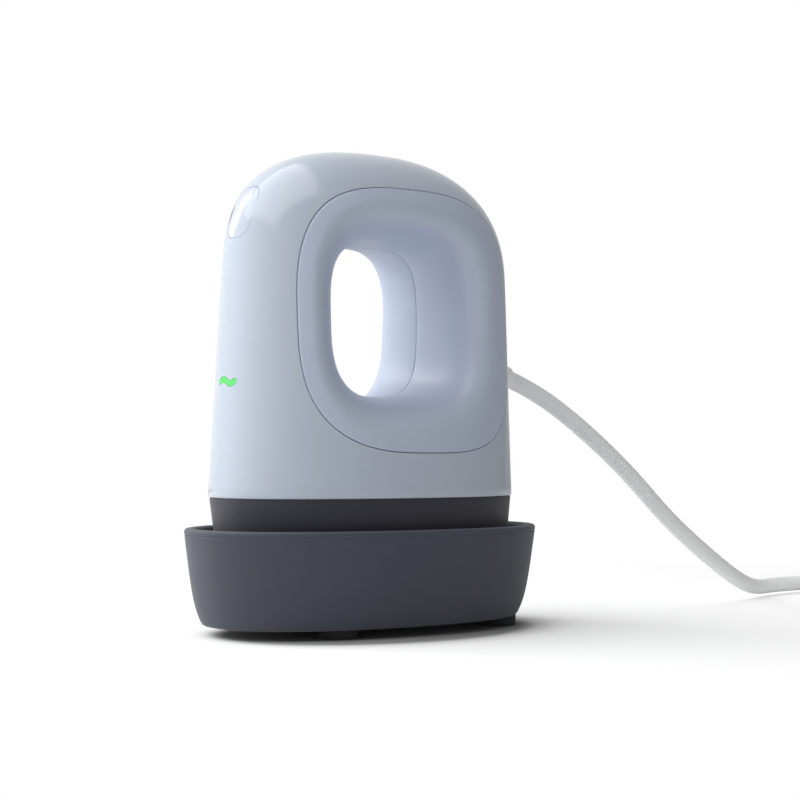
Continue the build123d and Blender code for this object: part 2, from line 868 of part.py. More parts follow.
board_screws = screws(
    post_places, board_top, board_thickness + board_post_height / 2,
    small_screw_diameter, small_head_diameter, small_head_height,
)
board_screws.part.label = "board_screws"
export_step(board_screws.part, "parts/board_screws.step")


# Block that stands on the board, by its place and its size
def board_block(place, size):
    with BuildPart() as block:
        with BuildSketch(Plane.XY.offset(board_top)):
            with Locations(place):
                Rectangle(size[0], size[1])
        extrude(amount=size[2])
    return block


relay = board_block((relay_place, board_edge - relay_edge_inset), relay_size)
relay.part.label = "relay"
export_step(relay.part, "parts/relay.step")

power_converter = board_block((converter_place, converter_edge_inset - board_edge), converter_size)
power_converter.part.label = "power_converter"
export_step(power_converter.part, "parts/power_converter.step")

film_capacitor = board_block((capacitor_place, board_edge - capacitor_edge_inset), capacitor_size)
film_capacitor.part.label = "film_capacitor"
export_step(film_capacitor.part, "parts/film_capacitor.step")

controller_chip = board_block(chip_place, chip_size)
controller_chip.part.label = "controller_chip"
export_step(controller_chip.part, "parts/controller_chip.step")

terminal_block = board_block(block_place, block_size)
terminal_block.part.label = "terminal_block"
export_step(terminal_block.part, "parts/terminal_block.step")

with BuildPart() as board_fuse:
    with BuildSketch(Plane.YZ.offset(fuse_place - fuse_size[0] / 2)):
        with Locations((fuse_edge_inset - board_edge, board_top + fuse_size[1] / 2)):
            Circle(fuse_size[1] / 2)
    extrude(amount=fuse_size[0])
board_fuse.part.label = "board_fuse"
export_step(board_fuse.part, "parts/board_fuse.step")

# Places along the button's axis, as depths below the nose's surface
plunger_top = button_stem_depth + plunger_gap
plunger_bottom = plunger_top + plunger_length
switch_bottom = switch_depth + switch_thickness
button_board_bottom = switch_bottom + small_board_thickness

# Power button: a cap cut from the shell's own form, with a stem behind it
with BuildPart() as power_button:
    add(shell_outside)
    add(shell_inside, mode=Mode.SUBTRACT)
    with BuildSketch(button_plane.offset(overrun)):
        RectangleRounded(button_width, button_length, button_corner)
    extrude(amount=-button_cut_depth, mode=Mode.INTERSECT)
    with BuildSketch(button_plane.offset(-shell_wall / 2)):
        Circle(button_stem_diameter / 2)
    extrude(amount=-(button_stem_depth - shell_wall / 2))
power_button.part.label = "power_button"
export_step(power_button.part, "parts/power_button.step")

# Tact switch behind the button: its plunger, its case and the board it is soldered to
with BuildPart() as switch_plunger:
    with BuildSketch(button_plane.offset(-plunger_top)):
        Circle(plunger_diameter / 2)
    extrude(amount=-plunger_length)
switch_plunger.part.label = "switch_plunger"
export_step(switch_plunger.part, "parts/switch_plunger.step")

with BuildPart() as switch_case:
    with BuildSketch(button_plane.offset(-switch_depth)):
        Rectangle(switch_size, switch_size)
    extrude(amount=-switch_thickness)
    with BuildSketch(button_plane.offset(-switch_depth)):
        Circle(plunger_diameter / 2 + switch_bore_gap)
    extrude(amount=-switch_bore_depth, mode=Mode.SUBTRACT)
switch_case.part.label = "switch_case"
export_step(switch_case.part, "parts/switch_case.step")

with BuildPart() as button_board:
    with BuildSketch(button_plane.offset(-switch_bottom)):
        Rectangle(button_board_width, button_board_length)
    extrude(amount=-small_board_thickness)
button_board.part.label = "button_board"
export_step(button_board.part, "parts/button_board.step")

# Places along the nose for the status light
guide_front = -light_reach + shell_wall
guide_back = guide_front + guide_depth
led_front = guide_back + led_gap
light_board_front = led_front + led_size[0]
light_board_back = light_board_front + small_board_thickness

# Green window: the wave through the wall, on a clear block that spreads the light
with BuildPart() as light_window:
    add(wave_form(0, -light_reach - overrun, shell_wall + 2 * overrun))
    add(shell_outside, mode=Mode.INTERSECT)
    with BuildSketch(Plane.YZ.offset(guide_front)):
        with Locations((0, light_height)):
            Rectangle(guide_width, guide_height)
    extrude(amount=guide_depth)
    add(shell_outside - shell_inside - wave_form(0, -light_reach, guide_depth), mode=Mode.SUBTRACT)
light_window.part.label = "light_window"
export_step(light_window.part, "parts/light_window.step")

with BuildPart() as status_led:
    with BuildSketch(Plane.YZ.offset(led_front)):
        with Locations((0, light_height)):
            Rectangle(led_size[1], led_size[2])
    extrude(amount=led_size[0])
status_led.part.label = "status_led"
export_step(status_led.part, "parts/status_led.step")

with BuildPart() as light_board:
    with BuildSketch(Plane.YZ.offset(light_board_front)):
        with Locations((0, light_height)):
            Rectangle(light_board_width, light_board_length)
    extrude(amount=small_board_thickness)
light_board.part.label = "light_board"
export_step(light_board.part, "parts/light_board.step")

# Nose mast: an upright on the chassis that holds the button's board and the light's board
ribbon_back = nose_mast_place + mast_thickness + ribbon_gap
ribbon_slot_half = ribbon_width / 2 + ribbon_gap
with BuildPart() as nose_mast:
    with BuildSketch(Plane.XY.offset(chassis_top)):
        with Locations((nose_mast_place + mast_thickness, 0)):
            Rectangle(
                mast_foot_length + mast_thickness, 2 * mast_foot_half_width, align=(Align.MAX, Align.CENTER)
            )
        with Locations(*nose_screw_places):
            Circle(small_hole, mode=Mode.SUBTRACT)
    extrude(amount=mast_foot_thickness)
    with BuildSketch(Plane.XY.offset(chassis_top)):
        with Locations((nose_mast_place, 0)):
            Rectangle(mast_thickness, 2 * mast_half_width, align=(Align.MIN, Align.CENTER))
    extrude(amount=nose_mast_height)
    with BuildSketch(Plane.YZ.offset(light_board_back)):
        with Locations((0, light_height)):
            Rectangle(light_board_width, light_board_length)
    extrude(amount=nose_mast_place - light_board_back)
    with BuildSketch(button_plane.offset(-button_board_bottom)):
        with Locations((0, button_board_length / 4)):
            Rectangle(button_board_width, button_board_length / 2)
    extrude(amount=-(mast_thickness + overrun))
    with BuildSketch(Plane.YZ.offset(light_board_back)):
        with Locations((0, light_height)):
            Rectangle(2 * ribbon_slot_half, ribbon_thickness + 2 * ribbon_gap)
    extrude(amount=nose_mast_place + mast_thickness - light_board_back, mode=Mode.SUBTRACT)
nose_mast.part.label = "nose_mast"
export_step(nose_mast.part, "parts/nose_mast.step")

# Ribbon cable: from the board up behind the mast, with a branch through it to the light's board
with BuildPart() as ribbon_cable:
    with BuildSketch(Plane.XY.offset(board_top)):
        with Locations((ribbon_back, 0)):
            Rectangle(ribbon_thickness, ribbon_width, align=(Align.MIN, Align.CENTER))
    extrude(amount=nose_mast_height - (board_top - chassis_top) + ribbon_gap + ribbon_thickness)
    with BuildSketch(Plane.XY.offset(board_top)):
        with Locations((ribbon_back, 0)):
            Rectangle(
                board_centre - board_length / 2 + ribbon_landing - ribbon_back, ribbon_width,
                align=(Align.MIN, Align.CENTER),
            )
    extrude(amount=ribbon_thickness)
    with BuildSketch(Plane.YZ.offset(light_board_back)):
        with Locations((0, light_height)):
            Rectangle(ribbon_width, ribbon_thickness)
    extrude(amount=ribbon_back - light_board_back)
    with BuildSketch(Plane.XY.offset(chassis_top + nose_mast_height + ribbon_gap)):
        with Locations((ribbon_back + ribbon_thickness, 0)):
            Rectangle(mast_thickness + ribbon_gap, ribbon_width, align=(Align.MAX, Align.CENTER))
    extrude(amount=ribbon_thickness)
ribbon_cable.part.label = "ribbon_cable"
export_step(ribbon_cable.part, "parts/ribbon_cable.step")

# Cord mast: an upright with a saddle for the cord where it comes in
lead_start = cord_wall_reach - lead_inside_length
clamp_hole = clamp_screw_diameter / 2 + screw_gap
clamp_screw_places = [
    (cord_mast_place + mast_thickness / 2, -clamp_half_spread),
    (cord_mast_place + mast_thickness / 2, clamp_half_spread),
]
with BuildPart() as cord_mast:
    with BuildSketch(Plane.XY.offset(chassis_top)):
        with Locations((cord_mast_place, 0)):
            Rectangle(cord_foot_length, 2 * cord_foot_half_width, align=(Align.MIN, Align.CENTER))
        with Locations(*cord_screw_places):
            Circle(small_hole, mode=Mode.SUBTRACT)
    extrude(amount=mast_foot_thickness)
    with BuildSketch(Plane.XY.offset(chassis_top)):
        with Locations((cord_mast_place, 0)):
            Rectangle(mast_thickness, 2 * mast_half_width, align=(Align.MIN, Align.CENTER))
    extrude(amount=cord_exit_height - chassis_top)
    with BuildSketch(Plane.YZ.offset(cord_mast_place)):
        with Locations((0, cord_exit_height)):
            Circle(cord_radius + screw_gap)
    extrude(amount=mast_thickness, mode=Mode.SUBTRACT)
    with BuildSketch(Plane.XY.offset(cord_exit_height)):
        with Locations(*clamp_screw_places):
            Circle(clamp_hole)
    extrude(amount=-clamp_screw_bite, mode=Mode.SUBTRACT)
cord_mast.part.label = "cord_mast"
export_step(cord_mast.part, "parts/cord_mast.step")

# Clamp that holds the cord down in the saddle, with its two screws
clamp_top = cord_exit_height + cord_radius + clamp_thickness
with BuildPart() as cord_clamp:
    with BuildSketch(Plane.YZ.offset(cord_mast_place)):
        with Locations((0, cord_exit_height)):
            Rectangle(2 * mast_half_width, cord_radius + clamp_thickness, align=(Align.CENTER, Align.MIN))
            Circle(cord_radius + screw_gap, mode=Mode.SUBTRACT)
    extrude(amount=mast_thickness)
    with BuildSketch(Plane.XY.offset(clamp_top)):
        with Locations(*clamp_screw_places):
            Circle(clamp_hole)
    extrude(amount=cord_exit_height - clamp_top, mode=Mode.SUBTRACT)
cord_clamp.part.label = "cord_clamp"
export_step(cord_clamp.part, "parts/cord_clamp.step")

clamp_screws = screws(
    clamp_screw_places, clamp_top, clamp_top - cord_exit_height + clamp_screw_bite - screw_gap,
    clamp_screw_diameter, clamp_screw_head_diameter, clamp_screw_head_height,
)
clamp_screws.part.label = "clamp_screws"
export_step(clamp_screws.part, "parts/clamp_screws.step")

mast_screws = screws(
    nose_screw_places + cord_screw_places, chassis_top + mast_foot_thickness,
    mast_foot_thickness + chassis_thickness, small_screw_diameter, small_head_diameter, small_head_height,
)
mast_screws.part.label = "mast_screws"
export_step(mast_screws.part, "parts/mast_screws.step")

# Where the cord leaves: level through the wall, then drooping through the boot
droop = radians(cord_exit_droop)
boot_root = (cord_wall_reach, 0, cord_exit_height)
boot_tip = (
    cord_wall_reach + boot_length * cos(droop), 0, cord_exit_height - boot_length * sin(droop)
)
boot_plane = Plane(origin=boot_root, x_dir=(0, 1, 0), z_dir=(cos(droop), 0, -sin(droop)))
lead_points = [(lead_start, 0, cord_exit_height), boot_root, boot_tip]


def tube_form(points, diameter, radii):
    heading = Vector(points[1]) - Vector(points[0])
    with BuildPart() as tube:
        with BuildLine() as path:
            FilletPolyline(*points, radius=radii)
        with BuildSketch(Plane(origin=points[0], z_dir=heading)):
            Circle(diameter / 2)
        sweep(path=path.wires()[0])
    return tube.part, path.wires()[0].length


# Piece of the cord inside the housing, from the clamp to the boot's tip
lead_tube, lead_length = tube_form(lead_points, cord_diameter, run_radii(lead_points))
cord_lead = BuildPart()
with cord_lead:
    add(lead_tube)
cord_lead.part.label = "cord_lead"
export_step(cord_lead.part, "parts/cord_lead.step")

# Moulded boot: a flange inside the wall, a neck through it and a short taper outside
with BuildPart() as strain_relief:
    with BuildSketch(Plane.YZ.offset(cord_wall_reach - boot_inside_length)):
        with Locations((0, cord_exit_height)):
            Circle(boot_root_diameter / 2)
    extrude(amount=boot_inside_length)
    with BuildSketch(Plane.YZ.offset(cord_wall_reach - shell_wall - boot_flange_setback)):
        with Locations((0, cord_exit_height)):
            Circle(boot_flange_diameter / 2)
    extrude(amount=-boot_flange_thickness)
    with BuildSketch(boot_plane):
        Circle(boot_root_diameter / 2)
    with BuildSketch(boot_plane.offset(boot_length)):
        Circle(boot_tip_diameter / 2)
    loft()
    with Locations(boot_root):
        Sphere(boot_root_diameter / 2)
    add(lead_tube, mode=Mode.SUBTRACT)
strain_relief.part.label = "strain_relief"
export_step(strain_relief.part, "parts/strain_relief.step")

# Live and neutral wires from the cord's end down to the terminal block
block_top = board_top + block_size[2]
with BuildPart() as mains_wires:
    for side in (-1, 1):
        wire_points = [
            (lead_start, side * mains_wire_half_spread, cord_exit_height),
            (lead_start - mains_wire_reach, side * mains_wire_half_spread, cord_exit_height),
            (lead_start - mains_wire_reach, side * mains_wire_half_spread, block_top),
        ]
        wire, wire_length = tube_form(wire_points, mains_wire_diameter, [mains_wire_radius])
        add(wire)
mains_wires.part.label = "mains_wires"
export_step(mains_wires.part, "parts/mains_wires.step")

# Free run of the cord, from the boot's tip down to the floor and on to the coil
floor_height = tie_thickness + cord_radius
coil_x, coil_y = coil_centre
coil_entry = (coil_x - coil_lead_length, coil_y + coil_outer_radius, floor_height)
droop_end = tuple(boot_plane.offset(boot_length + first_run_length).origin)
run_points = [boot_tip, droop_end, *cord_route, coil_entry]
run_tube, run_length = tube_form(run_points, cord_diameter, run_radii(run_points))
power_cord = BuildPart()
with power_cord:
    add(run_tube)
power_cord.part.label = "power_cord"
export_step(power_cord.part, "parts/power_cord.step")


# Half turns of the coil: they spiral in on the floor, climb one layer at the middle and spiral out.
# One more climbs outside them, and the tail's turn comes back over the top, up to the plug's height.
coil_top = floor_height + coil_pitch + cord_radius
plug_height = coil_top + plug_gap + plug_thickness / 2


def coil_arcs():
    inward = [coil_outer_radius - coil_pitch / 2 * k for k in range(coil_half_turns)]
    middle = coil_outer_radius - coil_pitch / 2 * coil_half_turns
    tail_climb = plug_height - floor_height - 2 * coil_pitch
    turns = [(coil_x, radius, 0) for radius in inward] + [(coil_x, middle, coil_pitch)]
    turns += [(coil_x, radius, 0) for radius in inward[:0:-1]] + [(coil_x, coil_outer_radius, coil_pitch)]
    turns += [(coil_x - coil_tail_run, coil_tail_radius, tail_climb)]
    arcs = []
    y = coil_y + coil_outer_radius
    z = floor_height
    side = 1
    for x, radius, climb in turns:
        start = (x, y, z)
        way = (x + side * hypot(radius, climb / 2), y - side * radius, z + climb / 2)
        y = y - side * 2 * radius
        z = z + climb
        arcs.append((start, way, (x, y, z)))
        side = -side
    return arcs


half_turns = coil_arcs()
coil_exit = half_turns[-1][2]
plug_start = (coil_exit[0] + cord_diameter, coil_exit[1], coil_exit[2])
with BuildPart() as cord_coil:
    with BuildLine() as coil_path:
        Line(coil_entry, half_turns[0][0])
        for start, way, end in half_turns[:-1]:
            ThreePointArc(start, way, end)
        Line(half_turns[-2][2], half_turns[-1][0])
        ThreePointArc(*half_turns[-1])
        Line(coil_exit, plug_start)
    with BuildSketch(Plane(origin=coil_entry, z_dir=(1, 0, 0))):
        Circle(cord_radius)
    sweep(path=coil_path.wires()[0])
cord_coil.part.label = "cord_coil"
export_step(cord_coil.part, "parts/cord_coil.step")

# Tie strapped round the coil's near side, which goes round the turns of both layers
turn_shift = tie_width / 2 + coil_pitch / 2
outer_turn = coil_outer_radius - coil_pitch / 2
inner_turn = coil_outer_radius - coil_pitch / 2 * (coil_half_turns - 1)
tie_far = outer_turn + cord_radius + tie_gap
tie_near = ((inner_turn - cord_radius) ** 2 - turn_shift ** 2) ** 0.5 - tie_gap
tie_hole_height = coil_pitch + cord_diameter + tie_gap
with BuildPart() as cord_tie:
    with BuildSketch(Plane.XZ.offset(tie_width / 2 - coil_y)):
        with Locations((coil_x - (tie_far + tie_near) / 2, tie_thickness + tie_hole_height / 2)):
            RectangleRounded(
                tie_far - tie_near + 2 * tie_thickness, tie_hole_height + 2 * tie_thickness, cord_radius
            )
            RectangleRounded(
                tie_far - tie_near, tie_hole_height, cord_radius - tie_thickness, mode=Mode.SUBTRACT
            )
    extrude(amount=-tie_width)
cord_tie.part.label = "cord_tie"
export_step(cord_tie.part, "parts/cord_tie.step")

# Flat two-blade plug, lying on the coil
plug_plane = Plane(origin=plug_start, x_dir=(0, 1, 0), z_dir=(1, 0, 0))
with BuildPart() as plug_body:
    with BuildSketch(plug_plane):
        Circle(cord_radius + tie_thickness)
    with BuildSketch(plug_plane.offset(plug_grip_length)):
        RectangleRounded(plug_grip_width, 2 * (cord_radius + tie_thickness), cord_radius)
    loft()
    with BuildSketch(plug_plane.offset(plug_grip_length)):
        RectangleRounded(plug_width, plug_thickness, plug_round)
    extrude(amount=plug_length - plug_grip_length)
plug_body.part.label = "plug_body"
export_step(plug_body.part, "parts/plug_body.step")

with BuildPart() as plug_blades:
    with BuildSketch(plug_plane.offset(plug_length)):
        with Locations((-blade_spread / 2, 0), (blade_spread / 2, 0)):
            Rectangle(blade_thickness, blade_width)
    extrude(amount=blade_length)
plug_blades.part.label = "plug_blades"
export_step(plug_blades.part, "parts/plug_blades.step")


# Tray outline at a height: nearly upright under the rim, turning in towards the foot
def tray_oval(height, inset):
    fall = (tray_rim_height - height) / (tray_rim_height - tray_bottom)
    lean = tray_slope_share * fall + (1 - tray_slope_share) * fall ** tray_heel_power
    reach = tray_reach - tray_foot_inset * lean - inset
    return reach, reach, tray_side - tray_foot_side_inset * lean - inset


def tray_form(bottom, top, inset):
    with BuildPart() as form:
        for share in tray_level_shares:
            height = top - share * (top - bottom)
            add(oval_sketch(height, *tray_oval(height, inset)))
        loft()
    return form.part


# Rest tray with seats for the feet under its floor
tray_screw_head_seat = tray_bottom + foot_seat + small_head_height
with BuildPart() as rest_tray:
    add(tray_form(tray_bottom, tray_rim_height, 0))
    add(tray_form(tray_floor_top, tray_rim_height, tray_wall), mode=Mode.SUBTRACT)
    fillet(rest_tray.edges().group_by(Axis.Z)[-1], tray_rim_round)
    with BuildSketch(Plane.XY.offset(tray_bottom)):
        with Locations(*foot_places):
            Circle(foot_diameter / 2 + foot_gap)
    extrude(amount=foot_seat, mode=Mode.SUBTRACT)
    with BuildSketch(Plane.XY.offset(tray_bottom)):
        with Locations(*foot_places):
            Circle(small_head_diameter / 2 + screw_gap)
    extrude(amount=foot_seat + small_head_height, mode=Mode.SUBTRACT)
    with BuildSketch(Plane.XY.offset(tray_bottom)):
        with Locations(*foot_places):
            Circle(small_hole)
    extrude(amount=tray_floor, mode=Mode.SUBTRACT)
rest_tray.part.label = "rest_tray"
export_step(rest_tray.part, "parts/rest_tray.step")

# Rubber feet, each glued in its seat over a screw
with BuildPart() as tray_feet:
    with BuildSketch(Plane.XY):
        with Locations(*foot_places):
            Circle(foot_diameter / 2)
    extrude(amount=foot_height + foot_seat)
    fillet(tray_feet.edges().group_by(Axis.Z)[0], foot_round)
tray_feet.part.label = "tray_feet"
export_step(tray_feet.part, "parts/tray_feet.step")

# Heat-proof liner: a dish with ribs that the plate stands on
liner_outline = [reach - liner_inset for reach in tray_oval(tray_floor_top, tray_wall)]
with BuildPart() as rest_liner:
    add(oval_sketch(tray_floor_top, *liner_outline))
    extrude(amount=liner_floor + liner_wall_height)
    add(oval_sketch(liner_floor_top, *[reach - liner_wall for reach in liner_outline]))
    extrude(amount=liner_wall_height, mode=Mode.SUBTRACT)
    with BuildSketch(Plane.XY.offset(liner_floor_top)):
        with Locations((0, -liner_rib_spacing), (0, 0), (0, liner_rib_spacing)):
            SlotOverall(liner_rib_length, liner_rib_width)
    extrude(amount=liner_rib_height)
    with BuildSketch(Plane.XY.offset(liner_floor_top)):
        with Locations(*foot_places):
            Circle(liner_boss_diameter / 2)
    extrude(amount=liner_boss_height)
    with BuildSketch(Plane.XY.offset(tray_floor_top)):
        with Locations(*foot_places):
            Circle(small_hole)
    extrude(amount=liner_pilot_depth, mode=Mode.SUBTRACT)
rest_liner.part.label = "rest_liner"
export_step(rest_liner.part, "parts/rest_liner.step")

tray_screws = screws(
    foot_places, tray_screw_head_seat, tray_floor_top - tray_screw_head_seat + liner_pilot_depth - screw_gap,
    small_screw_diameter, small_head_diameter, small_head_height, upside=-1,
)
tray_screws.part.label = "tray_screws"
export_step(tray_screws.part, "parts/tray_screws.step")

# Facts about the cord: its radii, its volume against section times length, and its coil's own gap
cord_section = pi * cord_radius ** 2
coil_length = coil_path.wires()[0].length
print("cord radii", [round(radius, 1) for radius in run_radii(run_points)])
print("run volume", round(run_tube.volume, 1), "section x length", round(cord_section * run_length, 1))
print("coil volume", round(cord_coil.part.volume, 1), "section x length", round(cord_section * coil_length, 1))
print("cord length", round(run_length + coil_length, 1))
coil_points = []
for arc in half_turns:
    edge = Edge.make_three_point_arc(*arc)
    coil_points += [edge @ (step / 16) for step in range(16)]
gaps = []
for first in range(len(coil_points)):
    for second in range(first + 8, len(coil_points)):
        gaps.append((coil_points[first] - coil_points[second]).length - cord_diameter)
print("least gap of the coil to itself", round(min(gaps), 2))
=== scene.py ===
import json
from math import atan, cos, pi, radians, sin

import bpy
import numpy as np
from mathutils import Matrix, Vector


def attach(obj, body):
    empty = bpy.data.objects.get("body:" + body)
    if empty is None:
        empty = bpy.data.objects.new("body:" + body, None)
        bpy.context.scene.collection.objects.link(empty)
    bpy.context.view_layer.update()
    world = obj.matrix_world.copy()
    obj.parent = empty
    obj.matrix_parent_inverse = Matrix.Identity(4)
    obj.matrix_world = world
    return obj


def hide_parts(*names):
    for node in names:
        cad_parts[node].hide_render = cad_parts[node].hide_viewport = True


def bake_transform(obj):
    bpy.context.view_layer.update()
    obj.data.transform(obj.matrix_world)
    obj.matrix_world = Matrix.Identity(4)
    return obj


# A mini heat press in its rest tray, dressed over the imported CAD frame.
# Metres, floor at z = 0, nose towards -X, cord towards +X.
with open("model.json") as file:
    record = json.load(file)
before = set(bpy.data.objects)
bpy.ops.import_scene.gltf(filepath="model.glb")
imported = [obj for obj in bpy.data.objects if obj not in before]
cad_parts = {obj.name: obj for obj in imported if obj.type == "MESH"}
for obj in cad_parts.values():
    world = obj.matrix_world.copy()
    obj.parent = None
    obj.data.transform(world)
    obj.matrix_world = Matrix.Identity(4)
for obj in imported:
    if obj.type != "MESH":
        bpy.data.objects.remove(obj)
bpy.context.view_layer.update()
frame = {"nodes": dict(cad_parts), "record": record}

# The camera stands low and a little to the nose side of the press, and is turned a touch to the
# right and upwards, which leaves the room around the press that the picture has.
camera_distance = 0.47465
camera_height = 0.04922
camera_azimuth = radians(35)
camera_turn = radians(1.28)
camera_tilt = radians(1.86)
film_width = 36
focal_length = 74.925
near_clip = 0.01
far_clip = 50


def add_object(name, data):
    thing = bpy.data.objects.new(name, data)
    bpy.context.scene.collection.objects.link(thing)
    return thing


camera = add_object("camera", bpy.data.cameras.new("camera"))
camera.data.sensor_width = film_width
camera.data.lens = focal_length
camera.data.clip_start = near_clip
camera.data.clip_end = far_clip
camera.location = (
    -camera_distance * sin(camera_azimuth), -camera_distance * cos(camera_azimuth), camera_height
)
camera.rotation_euler = (pi / 2 + camera_tilt, 0, -camera_azimuth - camera_turn)
bpy.context.scene.camera = camera
bpy.context.scene.view_settings.view_transform = "Standard"

# The shell is one glossy moulded hood. Its plan is an oval with a slimmer nose, its walls lean in
# a little and its crown is a soft dome. It has a window each side, a hole for the button on the
# upper nose, a wave-shaped slot for the status light and a round hole for the cord's boot.
MM = 0.001
plan_power = 2.27
plan_steps = 256
nose_slim = 0.07
skirt_line = 0.0373
crown = 0.1345
crown_turn = radians(88.6)
shell_wall = 0.0022
shell_lip = 0.0005
shell_foot = {"front": 0.0465, "rear": 0.0459, "side": 0.0304}
shell_rake = {"front": 0.057, "rear": 0.015, "side": 0.048}
shell_dome = {"front": 0.0305, "rear": 0.0338, "side": 0.0402}
shell_power = {"front": 2.63, "rear": 2.36, "side": 2.38}
outer_steps = (26, 60)
inner_steps = (12, 30)
nose_rounds = 8


def full_turn(steps):
    return np.arange(steps) * 2 * pi / steps


def superellipse(turn, power):
    along = np.sign(np.cos(turn)) * np.abs(np.cos(turn)) ** (2 / power)
    across = np.sign(np.sin(turn)) * np.abs(np.sin(turn)) ** (2 / power)
    return along, across


def oval(front, rear, side, z):
    along, across = superellipse(full_turn(plan_steps), plan_power)
    x = np.where(along > 0, rear, front) * along
    y = side * across * (1 + nose_slim * along)
    return np.stack([x, y, np.full(plan_steps, z)], 1)


# How far the shell reaches from the middle towards the nose, the rear or a side, at a height
def shell_reach(way, z, inset=0.0):
    straight = shell_foot[way] - inset - shell_rake[way] * (z - skirt_line)
    rise = np.clip((z - (crown - shell_dome[way])) / (shell_dome[way] - inset), 0, 1)
    return straight * (1 - rise ** shell_power[way]) ** (1 / shell_power[way])


def shell_ring(z, inset, drawn=0.0):
    reaches = [shell_reach(way, z, inset) - drawn for way in ("front", "rear", "side")]
    return oval(*reaches, z)


# Where the outer face lies: its half width at a length and height, and its nose at a width
def side_face(x, z):
    reach = np.where(x > 0, shell_reach("rear", z), shell_reach("front", z))
    along = np.clip(x / reach, -1, 1)
    round_share = (1 - np.abs(along) ** plan_power) ** (1 / plan_power)
    return shell_reach("side", z) * round_share * (1 + nose_slim * along)


def nose_face(y, z):
    reach, side = shell_reach("front", z), shell_reach("side", z)
    x = -reach * np.ones_like(y)
    for _ in range(nose_rounds):
        share = np.clip(np.abs(y / (side * (1 + nose_slim * x / reach))), 0, 1)
        x = -reach * (1 - share ** plan_power) ** (1 / plan_power)
    return x


def shell_rings(inset, start, steps):
    dome = shell_dome["side"]
    turns = np.linspace(0, crown_turn, steps[1])
    heights = list(np.linspace(start, crown - dome, steps[0], endpoint=False))
    heights += list(crown - dome + (dome - inset) * np.sin(turns) ** (2 / shell_power["side"]))
    return [shell_ring(z, inset) for z in heights]


def face_outwards(mesh):
    corners = np.array([vertex.co for vertex in mesh.vertices])
    volume = 0.0
    for face in mesh.polygons:
        points = corners[list(face.vertices)]
        for second, third in zip(points[1:], points[2:]):
            volume += np.dot(points[0], np.cross(second, third))
    if volume < 0:
        mesh.flip_normals()


# Rings of points joined by quads; a closed mesh has its ends capped or joined to each other
def ring_mesh(name, rings, closed_round=True, capped=False, joined=False):
    rings = np.asarray(rings, float)
    count, around = rings.shape[:2]
    faces = []
    for row in range(count if joined else count - 1):
        for step in range(around if closed_round else around - 1):
            following = (step + 1) % around
            below, above = row * around, (row + 1) % count * around
            faces.append((below + step, below + following, above + following, above + step))
    if capped:
        faces.append(tuple(range(around))[::-1])
        faces.append(tuple((count - 1) * around + step for step in range(around)))
    mesh = bpy.data.meshes.new(name)
    mesh.from_pydata(rings.reshape(-1, 3).tolist(), [], faces)
    mesh.validate()
    if capped or joined:
        face_outwards(mesh)
    return add_object(name, mesh)


def evaluated_mesh(thing):
    bpy.context.view_layer.update()
    evaluated = thing.evaluated_get(bpy.context.evaluated_depsgraph_get())
    return bpy.data.meshes.new_from_object(evaluated)


def settle(thing):
    mesh = evaluated_mesh(thing)
    thing.modifiers.clear()
    thing.data = mesh
    return thing


def carve(thing, cutter_rings):
    cutter = ring_mesh("cutter", cutter_rings, capped=True)
    cut = thing.modifiers.new("cut", "BOOLEAN")
    cut.operation = "DIFFERENCE"
    cut.solver = "EXACT"
    cut.object = cutter
    settle(thing)
    bpy.data.objects.remove(cutter)


outside = shell_rings(0.0, skirt_line + shell_lip, outer_steps)
inside = shell_rings(shell_wall, skirt_line, inner_steps)
lip = [
    shell_ring(skirt_line + rise_share * shell_lip, 0.0, drawn_share * shell_lip)
    for rise_share, drawn_share in ((0.0, 1.0), (0.3, 0.3))
]
shell = ring_mesh("outer_shell_gloss", inside[::-1] + lip + outside, capped=True)

window_middle = 0.0859
window_half = (0.0358, 0.0363)
window_power = 3.1
throat_middle = 0.0868
throat_half = (0.0169, 0.0213)
throat_power = 3.4
grip_middle = 0.002
grip_steps = 224
past_side = 0.05


def grip_outline(half, power, middle, growth):
    along, up = superellipse(full_turn(grip_steps), power)
    return grip_middle + (half[0] + growth) * along, middle + (half[1] + growth) * up


def window_outline(growth=0.0):
    return grip_outline(window_half, window_power, window_middle, growth)


def throat_outline(growth=0.0):
    return grip_outline(throat_half, throat_power, throat_middle, growth)


# An edge is a list of depths under the shell's face and growths of the outline, in millimetres
window_edge = [(3.0, 0.10), (0.6, 0.10), (0.32, 0.14), (0.16, 0.22), (0.04, 0.36), (-0.15, 0.62)]
for side in (-1, 1):
    x, z = window_outline(window_edge[0][1] * MM)
    cutter_rings = [np.stack([x, np.zeros(grip_steps), z], 1)]
    for depth, growth in window_edge:
        x, z = window_outline(growth * MM)
        cutter_rings.append(np.stack([x, side * (side_face(x, z) - depth * MM), z], 1))
    cutter_rings.append(np.stack([x, np.full(grip_steps, side * past_side), z], 1))
    carve(shell, cutter_rings)

# The button lies along the nose's slope, and its outline is a rectangle with round corners
button_height = 0.1153
button_half = (0.00575, 0.0075)
button_corner = 0.0042
corner_steps = 16
nose_reach = shell_reach("front", button_height)
button_tilt = atan((nose_reach - shell_reach("front", button_height + MM)) / MM)
button_out = np.array([-cos(button_tilt), 0, sin(button_tilt)])
button_up = np.array([sin(button_tilt), 0, cos(button_tilt)])
button_middle = np.array([-nose_reach, 0, button_height])
nose_search = (-0.012, 0.004)
nose_halvings = 30
past_nose = 0.004


def rounded_rectangle(half_width, half_length, corner):
    corners = []
    for quarter, (right, up) in enumerate([(1, 1), (-1, 1), (-1, -1), (1, -1)]):
        for step in range(corner_steps):
            turn = pi / 2 * (quarter + step / (corner_steps - 1))
            corners.append((
                right * (half_width - corner) + corner * cos(turn),
                up * (half_length - corner) + corner * sin(turn),
            ))
    return np.array(corners)


